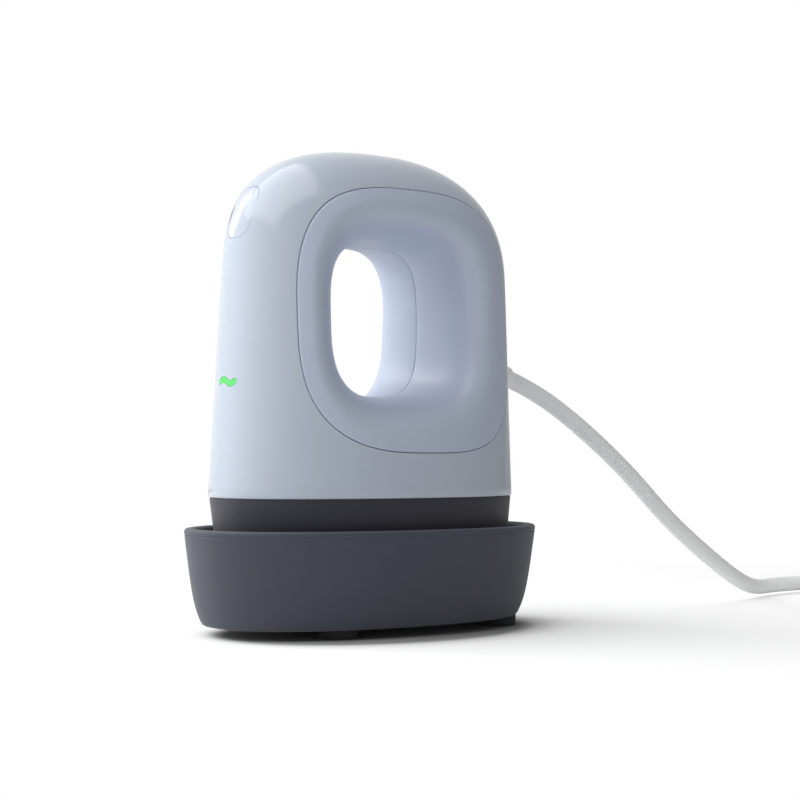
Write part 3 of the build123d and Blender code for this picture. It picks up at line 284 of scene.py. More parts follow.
# The button's outline, shrunk to a share and grown, at a depth under the nose's face
def button_ring(depth, growth, share=1.0):
    outline = rounded_rectangle(
        button_half[0] * share + growth, button_half[1] * share + growth, button_corner * share
    )
    points = button_middle + np.outer(outline[:, 0], [0, 1, 0]) + np.outer(outline[:, 1], button_up)
    low, high = [np.full(len(points), end) for end in nose_search]
    for _ in range(nose_halvings):
        middle = (low + high) / 2
        trial = points + np.outer(middle, button_out)
        past = trial[:, 0] < nose_face(trial[:, 1], trial[:, 2])
        high = np.where(past, middle, high)
        low = np.where(past, low, middle)
    return points + np.outer((low + high) / 2 - depth, button_out)


button_hole_edge = [(4.0, 0.06), (0.5, 0.06), (0.15, 0.06), (0.04, 0.08), (-0.1, 0.14)]
cutter_rings = [button_ring(depth * MM, growth * MM) for depth, growth in button_hole_edge]
carve(shell, [*cutter_rings, cutter_rings[-1] + past_nose * button_out])

# The wave is one stroke with round ends; its slot is cut a hair wider
light_height = 0.0688
wave_half = 0.0037
wave_rise = 0.0006
wave_steps = 24
stroke_half = 0.0008
stroke_end_steps = 12


def wave_ring(depth, growth):
    reach = stroke_half + growth
    along = np.linspace(-wave_half, wave_half, wave_steps)
    slope = wave_rise * pi / wave_half * np.cos(pi * along / wave_half)
    length = np.hypot(1, slope)
    middle = np.stack([along, light_height + wave_rise * np.sin(pi * along / wave_half)], 1)
    normal = np.stack([-slope / length, 1 / length], 1)
    upper, lower = middle + reach * normal, middle - reach * normal
    turns = np.linspace(0, pi, stroke_end_steps)[1:-1]
    ends = []
    for point, heading in ((middle[-1], normal[-1]), (middle[0], -normal[0])):
        onwards = np.array([heading[1], -heading[0]])
        ends.append(point + reach * (np.outer(np.cos(turns), heading) + np.outer(np.sin(turns), onwards)))
    y, z = np.concatenate([upper, ends[0], lower[::-1], ends[1]]).T
    return np.stack([nose_face(y, z) + depth, y, z], 1)


wave_slot_edge = [(4.0, 0.06), (0.1, 0.06), (-0.2, 0.12), (-2.0, 0.12)]
carve(shell, [wave_ring(depth * MM, growth * MM) for depth, growth in wave_slot_edge])

# The boot of the cord passes through a round hole at the back
cord_height = 0.0749
boot_root = 0.0043
boot_play = 0.0001
boot_hole_ends = (0.036, 0.056)
boot_turns = full_turn(48)
cutter_rings = []
for x in boot_hole_ends:
    y = (boot_root + boot_play) * np.cos(boot_turns)
    z = cord_height + (boot_root + boot_play) * np.sin(boot_turns)
    cutter_rings.append(np.stack([np.full(len(boot_turns), x), y, z], 1))
carve(shell, cutter_rings)


# A node's output socket: an operator on it adds the Math node for that sum
class Value:
    def __init__(self, maker, socket):
        self.maker = maker
        self.socket = socket

    def sum(self, operation, first, second=0.0):
        return self.maker.node("ShaderNodeMath", {"operation": operation}, {0: first, 1: second})

    def __add__(self, other):
        return self.sum("ADD", self, other)

    __radd__ = __add__

    def __mul__(self, other):
        return self.sum("MULTIPLY", self, other)

    __rmul__ = __mul__

    def __sub__(self, other):
        return self.sum("SUBTRACT", self, other)

    def __rsub__(self, other):
        return self.sum("SUBTRACT", other, self)

    def __truediv__(self, other):
        return self.sum("DIVIDE", self, other)

    def __rtruediv__(self, other):
        return self.sum("DIVIDE", other, self)

    def above(self, edge, softness):
        return self.maker.node(
            "ShaderNodeMapRange", {"interpolation_type": "SMOOTHSTEP"},
            {"Value": self, "From Min": edge - softness, "From Max": edge + softness},
        )


# Whatever has a node tree: a material, the room's light or a Geometry Nodes recipe
class Maker:
    def __init__(self, tree):
        self.tree = tree

    def node(self, kind, settings, inputs, output=0):
        node = self.tree.nodes.new(kind)
        for setting, choice in settings.items():
            setattr(node, setting, choice)
        for socket, feed in inputs.items():
            if isinstance(feed, Value):
                self.tree.links.new(feed.socket, node.inputs[socket])
            else:
                node.inputs[socket].default_value = feed
        return Value(self, node.outputs[output])

    def ray(self, kind):
        return self.node("ShaderNodeLightPath", {}, {}, kind)

    def first(self, kind):
        return next(node for node in self.tree.nodes if node.type == kind)


# One material with its surface shader; the slot of a piece that wears it has the same name
class Finish(Maker):
    def __init__(self, name, constants):
        self.name = name
        self.material = bpy.data.materials.new(name)
        self.material.use_nodes = True
        super().__init__(self.material.node_tree)
        self.shader = self.first("BSDF_PRINCIPLED")
        for socket, amount in constants.items():
            self.shader.inputs[socket].default_value = amount

    def place(self):
        return self.node("ShaderNodeTexCoord", {}, {}, "Object")

    def noise(self, size, detail):
        return self.node(
            "ShaderNodeTexNoise", {}, {"Vector": self.place(), "Scale": 1 / size, "Detail": detail}, "Fac"
        )

    def cells(self, size):
        return self.node(
            "ShaderNodeTexVoronoi", {}, {"Vector": self.place(), "Scale": 1 / size}, "Distance"
        )

    def mix(self, share, low, high):
        return self.node(
            "ShaderNodeMix", {"data_type": "RGBA"}, {0: share, 6: (*low, 1), 7: (*high, 1)}, 2
        )

    def feed(self, socket, value):
        self.tree.links.new(value.socket, self.shader.inputs[socket])

    def bump(self, height, depth, strength):
        self.feed("Normal", self.node(
            "ShaderNodeBump", {}, {"Height": height, "Distance": depth, "Strength": strength}
        ))


# Edges sharper than an angle stay crisp; a piece rides on a body and stands for nodes of the frame
def finish_piece(thing, finish, body, crisp, replaces=()):
    thing.data.materials.clear()
    thing.data.materials.append(finish.material)
    thing.data.polygons.foreach_set("material_index", [0] * len(thing.data.polygons))
    thing.data.shade_smooth()
    thing.data.set_sharp_from_angle(angle=radians(crisp))
    if body:
        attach(thing, body)
    if replaces:
        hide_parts(*replaces)


gloss = Finish("shell_gloss", {
    "IOR": 1.46, "Specular IOR Level": 0.5, "Coat Weight": 0.4, "Coat Roughness": 0.1
})
gloss.feed("Base Color", gloss.mix(gloss.noise(0.045, 1.0), (0.448, 0.505, 0.592), (0.468, 0.525, 0.612)))
gloss.feed("Roughness", gloss.noise(0.012, 2.0) * 0.05 + 0.145)
gloss.bump(gloss.noise(0.0045, 1.0), 0.00001, 0.25)
finish_piece(shell, gloss, "press", 28, ["outer_shell"])

# The power button is a cap moulded in the shell's own plastic. Its face carries on the curve of
# the nose, its edge is rounded, and a thin gap parts it from the shell. A stem under it presses
# the switch.
cap_shares = (0.02, 0.1, 0.2, 0.3, 0.4, 0.5, 0.6, 0.7, 0.8, 0.88, 0.95)
cap_sag = 0.00002
cap_edge = [(0.02, -0.07), (0.04, -0.02), (0.1, 0.0), (0.5, 0.0), (2.2, 0.0)]
cap_rings = [button_ring(cap_sag * share ** 2, 0.0, share) for share in cap_shares]
cap_rings += [button_ring(depth * MM, growth * MM) for depth, growth in cap_edge]
button = ring_mesh("power_button_cap", cap_rings, capped=True)
finish_piece(button, gloss, "button", 40)
# Depths under the nose's face, each with the stem's radius there
stem_profile = [(0.0018, 0.002), (0.0057, 0.002), (0.006, 0.0017)]
stem_turns = full_turn(40)
stem_rings = []
for depth, radius in stem_profile:
    around = np.outer(np.cos(stem_turns), [0, 1, 0]) + np.outer(np.sin(stem_turns), button_up)
    stem_rings.append(button_middle - depth * button_out + radius * around)
stem = ring_mesh("power_button_stem", stem_rings, capped=True)
finish_piece(stem, gloss, "button", 40, ["power_button"])

# The status light is a clear green moulding in the shape of a small wave. It is pressed into its
# slot in the nose and lit from behind.
light_edge = [(3.0, 0.0), (0.2, 0.0), (0.04, -0.1)]
light_rings = [wave_ring(depth * MM, growth * MM) for depth, growth in light_edge]
light = ring_mesh("light_window_wave", light_rings, capped=True)
glow = Finish("light_green", {"Roughness": 0.3, "IOR": 1.49, "Emission Strength": 0.36})
spread = glow.noise(0.002, 1.0)
glow.feed("Base Color", glow.mix(spread, (0.05, 0.42, 0.08), (0.08, 0.50, 0.10)))
glow.feed("Emission Color", glow.mix(spread, (0.06, 0.62, 0.10), (0.10, 0.72, 0.13)))
finish_piece(light, glow, "press", 40, ["light_window"])

# The grip inserts are two satin funnels, left and right. Each has a narrow band flush with the
# shell, rolls over into the grip, softly on the nose side and tightly on the cord side, and runs
# to the middle plane, where the two halves meet in a fine seam.
band_width = 0.0030
band_shares = (0.18, 0.4, 0.62, 0.8, 0.9)
front_lip_pull = (0.41, 0.39)
rear_lip_pull = (1.0, 0.95)
slope_share = 0.02
roll_steps = 44
seam_half = 0.00022
seam_edge = [(0.02, 0.6), (0.16, 0.12)]
insert_edge = [(0.02, -0.12), (0.09, -0.04), (0.2, 0.0), (0.6, 0.0), (1.8, 0.0)]
insert_wall = 0.0012


def insert_rings(side):
    mouth_x, mouth_z = window_outline(-band_width)
    throat_x, throat_z = throat_outline()
    rim_x, rim_z = window_outline()
    mouth = np.stack([mouth_x, side_face(mouth_x, mouth_z), mouth_z], 1)
    throat = np.stack([throat_x, np.full(grip_steps, seam_half), throat_z], 1)
    near_x = mouth_x + slope_share * (rim_x - mouth_x)
    near_z = mouth_z + slope_share * (rim_z - mouth_z)
    slope = np.stack([near_x, side_face(near_x, near_z), near_z], 1) - mouth
    slope /= np.linalg.norm(slope, axis=1)[:, None]
    corner = np.stack([throat_x, mouth[:, 1], throat_z], 1)
    pull = np.linalg.norm(mouth - corner, axis=1)[:, None]
    rear_share = (1 + (mouth_x - grip_middle) / (window_half[0] - band_width))[:, None] / 2
    leave_pull, arrive_pull = [
        front + (rear - front) * rear_share for front, rear in zip(front_lip_pull, rear_lip_pull)
    ]
    leave = throat + leave_pull * (corner - throat)
    arrive = mouth - arrive_pull * pull * slope
    rings = []
    for out, growth in seam_edge:
        x, z = throat_outline(growth * MM)
        rings.append(np.stack([x, np.full(grip_steps, out * MM), z], 1))
    for part in np.linspace(0, 1, roll_steps)[1:]:
        rings.append(
            (1 - part) ** 3 * throat + 3 * part * (1 - part) ** 2 * leave
            + 3 * part ** 2 * (1 - part) * arrive + part ** 3 * mouth
        )
    for share in band_shares:
        x, z = mouth_x + share * (rim_x - mouth_x), mouth_z + share * (rim_z - mouth_z)
        rings.append(np.stack([x, side_face(x, z), z], 1))
    for depth, growth in insert_edge:
        x, z = window_outline(growth * MM)
        rings.append(np.stack([x, side_face(x, z) - depth * MM, z], 1))
    rings = np.array(rings)
    rings[:, :, 1] *= side
    return rings


satin = Finish("insert_satin", {"IOR": 1.5, "Specular IOR Level": 0.5})
satin.feed("Base Color", satin.mix(satin.noise(0.03, 1.0), (0.455, 0.512, 0.630), (0.478, 0.534, 0.652)))
satin.feed("Roughness", satin.noise(0.004, 3.0) * 0.08 + 0.32)
satin.bump(satin.noise(0.00035, 2.0), 0.00001, 0.35)
for side, name in ((-1, "grip_insert_left"), (1, "grip_insert_right")):
    insert = ring_mesh(name + "_funnel", insert_rings(side))
    if side < 0:
        insert.data.flip_normals()
    backing = insert.modifiers.new("wall", "SOLIDIFY")
    backing.thickness = insert_wall
    backing.offset = -1
    settle(insert)
    finish_piece(insert, satin, "press", 40, [name])

# The skirt is a dark ring of heat-proof plastic, flecked with lighter grains, between the shell
# and the hot plate. It stands a hair inside the shell and tapers a little towards the plate.
skirt_bottom = 0.0152
skirt_wall = 0.0022
skirt_inset = 0.0003
skirt_draft = {"front": 0.13, "rear": 0.07, "side": 0.10}


def skirt_ring(z, drawn):
    return oval(*[
        shell_foot[way] - skirt_inset - drawn - skirt_draft[way] * (skirt_line - z)
        for way in ("front", "rear", "side")
    ], z)


skirt_profile = [
    (skirt_line - 0.0062, skirt_wall), (skirt_bottom, skirt_wall), (skirt_bottom, 0.0006),
    (skirt_bottom + 0.0002, 0.0002), (skirt_bottom + 0.0006, 0.0),
]
skirt_profile += [(z, 0.0) for z in np.linspace(skirt_bottom + 0.002, skirt_line - 0.0004, 8)]
skirt_profile += [(skirt_line - 0.0001, 0.0001), (skirt_line, 0.0004), (skirt_line, skirt_wall)]
skirt_rings = [skirt_ring(z, drawn) for z, drawn in skirt_profile]
skirt = ring_mesh("base_skirt_ring", skirt_rings, joined=True)
speckle = Finish("skirt_speckle", {"IOR": 1.5, "Specular IOR Level": 0.3, "Sheen Weight": 0.15})
fleck = speckle.cells(0.0011).above(0.20, 0.05)
grain = speckle.noise(0.0007, 3.0)
speckle.feed("Base Color", speckle.mix(1 - fleck, (0.029, 0.029, 0.043), (0.036, 0.036, 0.052)))
speckle.feed("Roughness", grain * 0.2 + 0.42)
speckle.bump(grain, 0.00002, 0.4)
finish_piece(skirt, speckle, "press", 30, ["base_skirt"])

# The rest tray is a deep moulded dish in slate plastic with a fine matt grain. Its wall flares
# from a flat bottom to a rounded rim, with a fine line just under the rim.
tray_top = 0.029
tray_bottom = 0.0026
tray_reach = 0.0535
tray_side = 0.0354
tray_turn_in = (0.0049, 0.0066)
tray_wall = 0.003
tray_lean_power = 6
tray_lean_share = 0.37
rim_round = 0.0011
rim_steps = 7


def tray_ring(z, drawn):
    fall = np.clip((tray_top - z) / (tray_top - tray_bottom), 0, 1)
    lean = (1 - tray_lean_share) * fall + tray_lean_share * fall ** tray_lean_power
    reach = tray_reach - tray_turn_in[0] * lean - drawn
    return oval(reach, reach, tray_side - tray_turn_in[1] * lean - drawn, z)


def rim_arc(inset, start, end):
    return [
        (tray_top - rim_round + rim_round * sin(turn), inset + rim_round - rim_round * cos(turn))
        for turn in np.linspace(radians(start), radians(end), rim_steps)
    ]


# In millimetres: a rise over the bottom edge, a drop under the rim or a height over the table,
# each with how far the wall is drawn in there
bottom_edge = [(0.2, 3.5), (0.0, 3.0), (0.0, 1.2), (0.15, 0.4), (0.5, 0.05), (1.0, 0.0)]
rim_line = [(2.0, 0.0), (1.85, 0.1), (1.6, 0.1), (1.45, 0.0)]
dish_floor = [(7.2, 3.4), (6.7, 4.2), (6.6, 5.5)]
tray_profile = [(tray_bottom + rise * MM, drawn * MM) for rise, drawn in bottom_edge]
tray_profile += [(z, 0.0) for z in np.linspace(tray_bottom + 0.002, tray_top - 0.0026, 20)]
tray_profile += [(tray_top - drop * MM, drawn * MM) for drop, drawn in rim_line]
tray_profile += rim_arc(0.0, 0, 90) + rim_arc(tray_wall - 2 * rim_round, 90, 180)[1:]
tray_profile += [(z, tray_wall) for z in np.linspace(tray_top - 0.003, 0.0085, 10)]
tray_profile += [(height * MM, drawn * MM) for height, drawn in dish_floor]
tray_rings = [tray_ring(z, drawn) for z, drawn in tray_profile]
tray = ring_mesh("rest_tray_dish", tray_rings, capped=True)
slate = Finish("tray_slate", {"IOR": 1.5, "Specular IOR Level": 0.35, "Sheen Weight": 0.12})
grain = slate.noise(0.00045, 3.0)
slate.feed("Base Color", slate.mix(slate.noise(0.02, 2.0), (0.049, 0.055, 0.076), (0.056, 0.063, 0.086)))
slate.feed("Roughness", grain * 0.16 + 0.52)
slate.bump(grain, 0.00003, 0.5)
finish_piece(tray, slate, "tray", 30, ["rest_tray"])

# Four rubber feet are glued into seats under the tray. Each is a turned pad with its lower edge
# rounded over; a node tree turns one pad and sets it at every seat.
foot_radius = 0.0055
foot_height = 0.0038
foot_round = 0.0006
foot_places = ((-0.0205, 0.018), (0.036, 0.016))


# A Geometry Nodes tree with named sizes; it sets one unit at every place and becomes a plain mesh
class Recipe(Maker):
    def __init__(self, name, sizes):
        super().__init__(bpy.data.node_groups.new(name, "GeometryNodeTree"))
        self.sizes = sizes
        ways = self.tree.interface
        ways.new_socket("Geometry", in_out="INPUT", socket_type="NodeSocketGeometry")
        self.sockets = {
            size: ways.new_socket(size, in_out="INPUT", socket_type="NodeSocketFloat") for size in sizes
        }
        ways.new_socket("Geometry", in_out="OUTPUT", socket_type="NodeSocketGeometry")
        self.given = self.tree.nodes.new("NodeGroupInput")

    def size(self, name):
        return Value(self, self.given.outputs[name])

    def serve(self, name, places, unit, material):
        spots = self.node("GeometryNodeInstanceOnPoints", {}, {
            "Points": self.size("Geometry"), "Instance": unit,
        })
        plain = self.node("GeometryNodeRealizeInstances", {}, {"Geometry": spots})
        dressed = self.node("GeometryNodeSetMaterial", {}, {"Geometry": plain, "Material": material})
        self.tree.links.new(dressed.socket, self.tree.nodes.new("NodeGroupOutput").inputs[0])
        mesh = bpy.data.meshes.new(name)
        mesh.from_pydata(places, [], [])
        thing = add_object(name, mesh)
        step = thing.modifiers.new("recipe", "NODES")
        step.node_group = self.tree
        for size, socket in self.sockets.items():
            step[socket.identifier] = self.sizes[size]
        return settle(thing)


rubber = Finish("foot_rubber", {"IOR": 1.5, "Specular IOR Level": 0.3})
grain = rubber.noise(0.0008, 3.0)
rubber.feed("Base Color", rubber.mix(
    rubber.noise(0.006, 2.0), (0.020, 0.020, 0.022), (0.032, 0.032, 0.035)
))
rubber.feed("Roughness", grain * 0.14 + 0.68)
rubber.bump(grain, 0.00002, 0.4)
pads = Recipe("turned_pads", {"Radius": foot_radius, "Height": foot_height, "Round": foot_round})
drum = pads.node("GeometryNodeMeshCylinder", {}, {
    "Vertices": 64, "Side Segments": 32, "Radius": pads.size("Radius"), "Depth": pads.size("Height"),
})
# Near its lower end the side of the pad is drawn in along a quarter circle
spot = pads.node("GeometryNodeInputPosition", {}, {})
x, y, z = [pads.node("ShaderNodeSeparateXYZ", {}, {0: spot}, way) for way in "XYZ"]
short = pads.size("Round") - (z + pads.size("Height") * 0.5)
short = short.sum("MAXIMUM", short)
arc = pads.size("Round") * pads.size("Round") - short * short
drawn = 1 - (pads.size("Round") - arc.sum("SQRT", arc)) / pads.size("Radius")
turned = pads.node("GeometryNodeSetPosition", {}, {
    "Geometry": drum, "Position": pads.node("ShaderNodeCombineXYZ", {}, {0: x * drawn, 1: y * drawn, 2: z}),
})
seats = [(along, side * spread, foot_height / 2) for along, spread in foot_places for side in (-1, 1)]
feet = pads.serve("tray_feet_pads", seats, turned, rubber.material)
finish_piece(feet, rubber, "tray", 30, ["tray_feet"])

# The mains cord has a sheath of soft grey-white plastic. It leaves through a boot at the back and
# droops to the table, where the spare length is wound into a round coil: four turns inwards, and
# four back outwards on top of them.
cord_diameter = 0.0052
droop = radians(18)
droop_run = 0.0116
boot_length = 0.0084
wall_reach = shell_reach("rear", cord_height)


# A point that far beyond the rear wall, on the line along which the boot droops
def along_droop(travel):
    return wall_reach + travel * cos(droop), 0, cord_height - travel * sin(droop)


boot_tip = along_droop(boot_length)
route = [
    (0.082, -0.0022, 0.0575),
    (0.100, -0.0044, 0.0432),
    (0.115, -0.0060, 0.0288),
    (0.131, -0.0070, 0.0172),
    (0.1475, -0.0052, 0.0082),
    (0.1640, 0.0010, 0.0034),
    (0.1810, 0.0065, 0.0034),
]
coil_middle = (0.217, -0.033)
coil_lead = 0.021
coil_radius = 0.0395
coil_pitch = 0.0058
coil_half_turns = 8
turn_points = 12
tail_run = 0.007
tail_radius = 0.032
plug_thickness = 0.014
plug_clearance = 0.0009
floor_height = 0.0034
plug_height = floor_height + coil_pitch + cord_diameter / 2 + plug_clearance + plug_thickness / 2
inward = [(0.0, coil_radius - coil_pitch / 2 * turn, 0.0) for turn in range(coil_half_turns)]
turns = inward + [(0.0, coil_radius - coil_pitch / 2 * coil_half_turns, coil_pitch)] + inward[:0:-1]
turns += [
    (0.0, coil_radius, coil_pitch),
    (-tail_run, tail_radius, plug_height - floor_height - 2 * coil_pitch),
]
y, z, way = coil_middle[1] + coil_radius, floor_height, 1
centre_line = [boot_tip, along_droop(boot_length + droop_run), *route, (coil_middle[0] - coil_lead, y, z)]
for offset, radius, climb in turns:
    full = radius / cos(pi / 2 / turn_points) ** 0.5
    for step in range(turn_points):
        turn = pi * (step + 0.5) / turn_points
        centre_line.append((
            coil_middle[0] + offset + way * full * sin(turn),
            y - way * radius + way * full * cos(turn),
            z + climb * (1 - cos(turn)) / 2,
        ))
    y -= way * 2 * radius
    z += climb
    way = -way
cord_end = (coil_middle[0] - tail_run + cord_diameter, y, z)
centre_line += [(coil_middle[0] - tail_run, y, z), cord_end]
curve = bpy.data.curves.new("cord_line", "CURVE")
curve.dimensions = "3D"
spline = curve.splines.new("NURBS")
spline.points.add(len(centre_line) - 1)
for point, place in zip(spline.points, centre_line):
    point.co = (*place, 1)
spline.order_u = 3
spline.use_endpoint_u = True
spline.resolution_u = 10
line = add_object("cord_line", curve)
cord_path = [tuple(vertex.co) for vertex in evaluated_mesh(line).vertices]
curve.bevel_depth = cord_diameter / 2
curve.bevel_resolution = 7
curve.use_fill_caps = True
cord = add_object("power_cord_sheath", evaluated_mesh(line))
bpy.data.objects.remove(line)
sheath = Finish("cord_sheath", {"IOR": 1.46, "Specular IOR Level": 0.35})
sheath.feed("Base Color", sheath.mix(sheath.noise(0.02, 2.0), (0.90, 0.903, 0.906), (0.93, 0.933, 0.936)))
sheath.feed("Roughness", sheath.noise(0.003, 2.0) * 0.12 + 0.44)
finish_piece(cord, sheath, None, 60, ["power_cord", "cord_coil"])
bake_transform(cord)

# The boot is moulded onto the cord in the sheath's own plastic: a flange and a neck sit inside
# the wall, and a short taper with three grooves stands outside and droops with the cord.
boot_bore = 0.0026
boot_flange = 0.0055
boot_end = 0.0032
groove_places = (0.0016, 0.0036, 0.0056)
groove_depth = 0.0003
groove_lip = 0.00007
groove_half = (0.0005, 0.0003)
boot_bend = 0.002
boot_profile = [(-0.0118, boot_bore), (-0.0118, 0.0041), (-0.0116, boot_root), (-0.0056, boot_root)]
boot_profile += [(-0.0055, boot_flange), (-0.0031, boot_flange), (-0.0031, boot_root), (0.0, boot_root)]
for groove in groove_places:
    taper = boot_root - (boot_root - boot_end) * groove / boot_length
    boot_profile += [
        (groove - groove_half[0], taper + groove_lip), (groove - groove_half[1], taper - groove_depth),
        (groove + groove_half[1], taper - groove_depth), (groove + groove_half[0], taper - groove_lip),
    ]
boot_profile += [(boot_length - 0.0003, 0.0033), (boot_length, 0.0030), (boot_length, boot_bore)]
boot_rings = []
for travel, radius in boot_profile:
    lean = droop * min(1, max(0, travel / boot_bend))
    middle = along_droop(travel) if travel > 0 else (wall_reach + travel, 0, cord_height)
    up = [sin(lean), 0, cos(lean)]
    around = np.outer(np.cos(boot_turns), [0, 1, 0]) + np.outer(np.sin(boot_turns), up)
    boot_rings.append(np.array(middle) + radius * around)
boot = ring_mesh("strain_relief_boot", boot_rings, joined=True)
finish_piece(boot, sheath, "press", 35, ["strain_relief"])

# The plug is a flat moulding for two blades: round where the cord enters, with finger ribs, and
# swelling to a broad nose. It lies flat on top of the coil. A section gives how far it lies from
# the cord's end, its half width, its half height and how square it is, in millimetres.
plug_sections = [
    (0.0, 3.4, 3.4, 2.0), (1.0, 3.8, 3.5, 2.0), (1.2, 3.4, 3.3, 2.0), (2.0, 3.4, 3.3, 2.0),
    (2.2, 4.1, 3.7, 2.1), (3.4, 4.2, 3.8, 2.1), (3.6, 3.8, 3.5, 2.1), (4.4, 3.9, 3.5, 2.1),
    (4.6, 4.6, 4.0, 2.2), (5.8, 4.8, 4.1, 2.2), (7.5, 5.1, 4.3, 2.4), (10.0, 5.5, 4.7, 2.6),
    (12.5, 6.7, 5.6, 2.8), (14.5, 8.6, 6.5, 3.0), (16.0, 9.3, 6.9, 3.2), (18.0, 9.5, 7.0, 3.4),
    (25.6, 9.5, 7.0, 3.6), (26.4, 9.3, 6.8, 3.6), (26.8, 8.9, 6.4, 3.6), (27.0, 8.3, 5.8, 3.6),
]
plug_turns = full_turn(64)
plug_rings = []
for travel, half_width, half_height, power in plug_sections:
    across, up = superellipse(plug_turns, power)
    plug_rings.append(np.stack([
        np.full(len(plug_turns), cord_end[0] + travel * MM),
        cord_end[1] + half_width * MM * across,
        cord_end[2] + half_height * MM * up,
    ], 1))
plug = ring_mesh("plug_moulding", plug_rings, capped=True)
finish_piece(plug, sheath, "tray", 35, ["plug_body"])

# What the frame already shapes well keeps its mesh and gets its own finish: the cast plate and
# its heater, the liner, screws, boards and wires inside, the cord's tie and the plug's blades.
# A finish has its darker and lighter colour, roughness, metal share and size of grain.
plain_finishes = {
    "liner_black": ((0.022, 0.022, 0.024), (0.034, 0.034, 0.036), 0.60, 0.0, 0.0012),
    "tie_rubber": ((0.025, 0.025, 0.027), (0.040, 0.040, 0.042), 0.55, 0.0, 0.0010),
    "plate_metal": ((0.52, 0.53, 0.54), (0.62, 0.63, 0.64), 0.36, 1.0, 0.0009),
    "sheath_steel": ((0.20, 0.18, 0.16), (0.32, 0.29, 0.26), 0.45, 1.0, 0.0020),
    "bright_steel": ((0.48, 0.48, 0.49), (0.58, 0.58, 0.59), 0.30, 1.0, 0.0010),
    "zinc_screw": ((0.58, 0.58, 0.60), (0.68, 0.68, 0.69), 0.26, 1.0, 0.0008),
    "blade_brass": ((0.62, 0.50, 0.26), (0.72, 0.60, 0.34), 0.24, 1.0, 0.0010),
    "pad_fibre": ((0.74, 0.72, 0.68), (0.84, 0.82, 0.78), 0.95, 0.0, 0.0006),
    "sensor_body": ((0.70, 0.67, 0.60), (0.78, 0.75, 0.69), 0.35, 0.0, 0.0010),
    "wire_sleeve": ((0.33, 0.03, 0.02), (0.42, 0.05, 0.03), 0.45, 0.0, 0.0010),
    "chassis_nylon": ((0.030, 0.030, 0.032), (0.050, 0.050, 0.052), 0.55, 0.0, 0.0007),
    "board_laminate": ((0.010, 0.085, 0.040), (0.018, 0.120, 0.060), 0.35, 0.0, 0.0030),
    "part_black": ((0.012, 0.012, 0.013), (0.022, 0.022, 0.024), 0.40, 0.0, 0.0010),
    "part_blue": ((0.020, 0.080, 0.300), (0.030, 0.110, 0.360), 0.35, 0.0, 0.0010),
    "part_green": ((0.020, 0.200, 0.070), (0.030, 0.260, 0.100), 0.40, 0.0, 0.0010),
    "fuse_glass": ((0.70, 0.73, 0.73), (0.80, 0.83, 0.83), 0.12, 0.0, 0.0020),
    "plunger_white": ((0.70, 0.70, 0.67), (0.78, 0.78, 0.75), 0.40, 0.0, 0.0010),
    "ribbon_grey": ((0.28, 0.29, 0.31), (0.36, 0.37, 0.39), 0.50, 0.0, 0.0006),
}
cloud_grains = 8
grain_roughness = 0.14
grain_relief = 1 / 30
finishes = {finish.name: finish for finish in (gloss, glow, satin, speckle, slate, rubber, sheath)}
for name, (dark, pale, roughness, metal, grain_size) in plain_finishes.items():
    plain = Finish(name, {"Metallic": metal})
    grain = plain.noise(grain_size, 3.0)
    plain.feed("Base Color", plain.mix(plain.noise(grain_size * cloud_grains, 2.0), dark, pale))
    plain.feed("Roughness", grain * grain_roughness + (roughness - grain_roughness / 2))
    plain.bump(grain, grain_size * grain_relief, 0.4)
    finishes[name] = plain
slots = {part["node"]: part["material_slot"] for part in frame["record"]["subparts"]}
for node, thing in frame["nodes"].items():
    thing.data.materials.clear()
    thing.data.materials.append(finishes[slots[node]].material)

# The stage is a white sweep of paper with a painted shadow right under the tray: to the eye its
# colour is darker there. Near the press it takes light and shadow, and further out it goes over
# into plain white, which is for the eye alone and isn't sampled as a light.
floor_half = 3.0
paper_white = 0.86
painted_shadow_grey = 0.38
shade_middle = (0.0, -0.006)
shade_half = (0.050, 0.0354)
sweep_middle = (0.11, -0.01, 0.0)
lift_strength = 0.23
floor = ring_mesh("floor", [
    [(-floor_half, -floor_half, 0), (floor_half, -floor_half, 0)],
    [(-floor_half, floor_half, 0), (floor_half, floor_half, 0)],
], closed_round=False)
paper = Finish("floor_paper", {"Roughness": 1.0, "Specular IOR Level": 0.0})
seen = paper.ray("Is Camera Ray")
direct = seen + paper.ray("Is Transmission Ray")
from_sweep = paper.node(
    "ShaderNodeVectorMath", {"operation": "DISTANCE"}, {0: paper.place(), 1: sweep_middle}, "Value"
)
from_foot = paper.node("ShaderNodeVectorMath", {"operation": "LENGTH"}, {
    0: paper.node("ShaderNodeMapping", {}, {
        "Vector": paper.place(),
        "Location": (-shade_middle[0] / shade_half[0], -shade_middle[1] / shade_half[1], 0.0),
        "Scale": (1 / shade_half[0], 1 / shade_half[1], 1.0),
    }),
}, "Value")
# Painted shadow: inside this oval under the tray the paper's colour is darker to the camera
outside_painted_shadow = from_foot.above(0.97, 0.08)
paper.feed("Base Color", paper.mix(seen * (1 - outside_painted_shadow), (paper_white,) * 3, (painted_shadow_grey,) * 3))
# The lift brightens the open paper to the eye, outside the painted shadow
lit = Value(paper, paper.shader.outputs[0])
lift, white = [
    paper.node("ShaderNodeEmission", {}, {"Color": (1, 1, 1, 1), "Strength": strength})
    for strength in (lift_strength, 1.0)
]
raised = paper.node("ShaderNodeAddShader", {}, {0: lit, 1: lift})
near = paper.node("ShaderNodeMixShader", {}, {0: direct * from_foot.above(1.08, 0.2), 1: lit, 2: raised})
far = direct * from_sweep.above(0.19, 0.08) * outside_painted_shadow
whole = paper.node("ShaderNodeMixShader", {}, {0: far, 1: near, 2: white})
paper.tree.links.new(whole.socket, paper.first("OUTPUT_MATERIAL").inputs["Surface"])
paper.material.cycles.emission_sampling = "NONE"
floor.data.materials.append(paper.material)

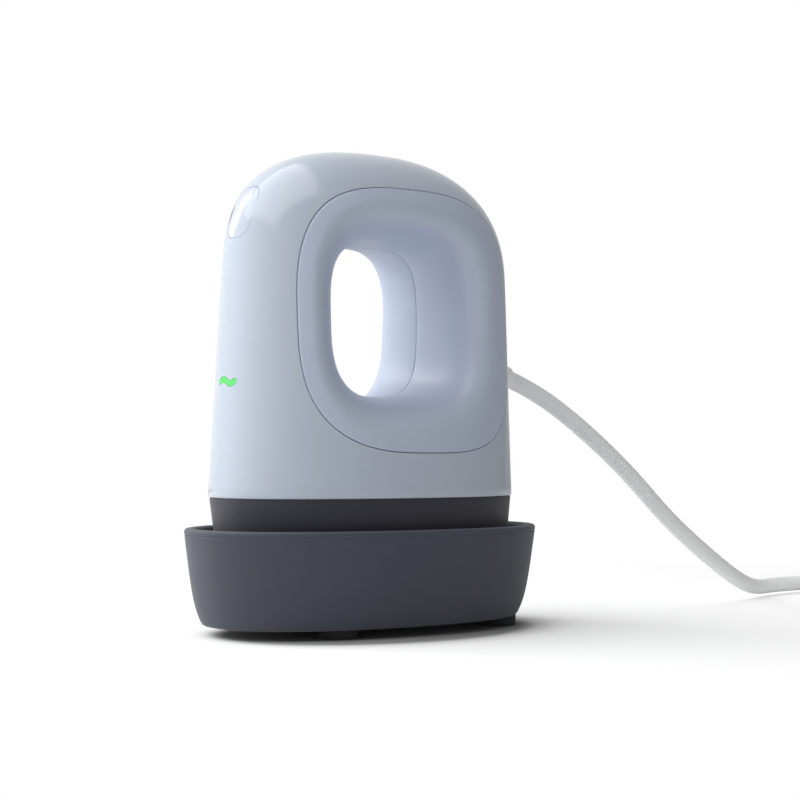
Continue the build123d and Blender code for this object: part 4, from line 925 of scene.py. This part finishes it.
# The room is white to the eye. What it sheds on the press, and what the press mirrors of it, is
# brightest behind, on the nose side.
bright_way = (-0.52, 0.68, 0.52)
mirrored_dark, mirrored_gain = 0.30, 0.70
shed_dark, shed_gain = 0.20, 0.16
world = bpy.data.worlds.new("studio")
bpy.context.scene.world = world
world.use_nodes = True
room = Maker(world.node_tree)
background = room.first("BACKGROUND")
direct = room.ray("Is Camera Ray") + room.ray("Is Transmission Ray")
heading = room.node("ShaderNodeTexCoord", {}, {}, "Generated")
bright = room.node(
    "ShaderNodeVectorMath", {"operation": "DOT_PRODUCT"}, {0: heading, 1: bright_way}, "Value"
).above(0.2, 0.6)
mirrored = mirrored_dark + bright * mirrored_gain
shed = shed_dark + bright * shed_gain
strength = direct + (1 - direct) * (shed + room.ray("Is Glossy Ray") * (mirrored - shed))
room.tree.links.new(strength.socket, background.inputs["Strength"])
background.inputs["Color"].default_value = (1, 1, 1, 1)


# Soft boxes: a large one behind on the nose side, a low one behind, one overhead, a weak low one
# in front, and a narrow one for the streak down the button. Those not mirrored only shed light.
def soft_box(name, place, aim, width, height, power, mirrored):
    lamp = add_object(name, bpy.data.lights.new(name, "AREA"))
    lamp.data.shape = "RECTANGLE"
    lamp.data.size = width
    lamp.data.size_y = height
    lamp.data.energy = power
    lamp.location = place
    lamp.rotation_euler = (Vector(aim) - Vector(place)).to_track_quat("-Z", "Y").to_euler()
    lamp.visible_glossy = mirrored


soft_box("nose_box", (-0.585, 0.487, 0.331), (0.015, -0.013, 0.191), 1.1, 0.674, 4.87, False)
soft_box("back_box", (-0.15, 0.80, 0.03), (0, 0, 0.11), 0.9, 0.3, 1.4, False)
soft_box("top_box", (-0.40, 0.10, 0.85), (0, 0, 0.08), 1.2, 1.0, 7.0, True)
soft_box("low_box", (-0.30, -0.70, 0.03), (0, 0, 0.11), 0.9, 0.3, 0.8, False)
soft_box("strip_box", (-0.30, 0.77, 0.50), (-0.043, 0, 0.115), 0.22, 0.42, 0.9, True)
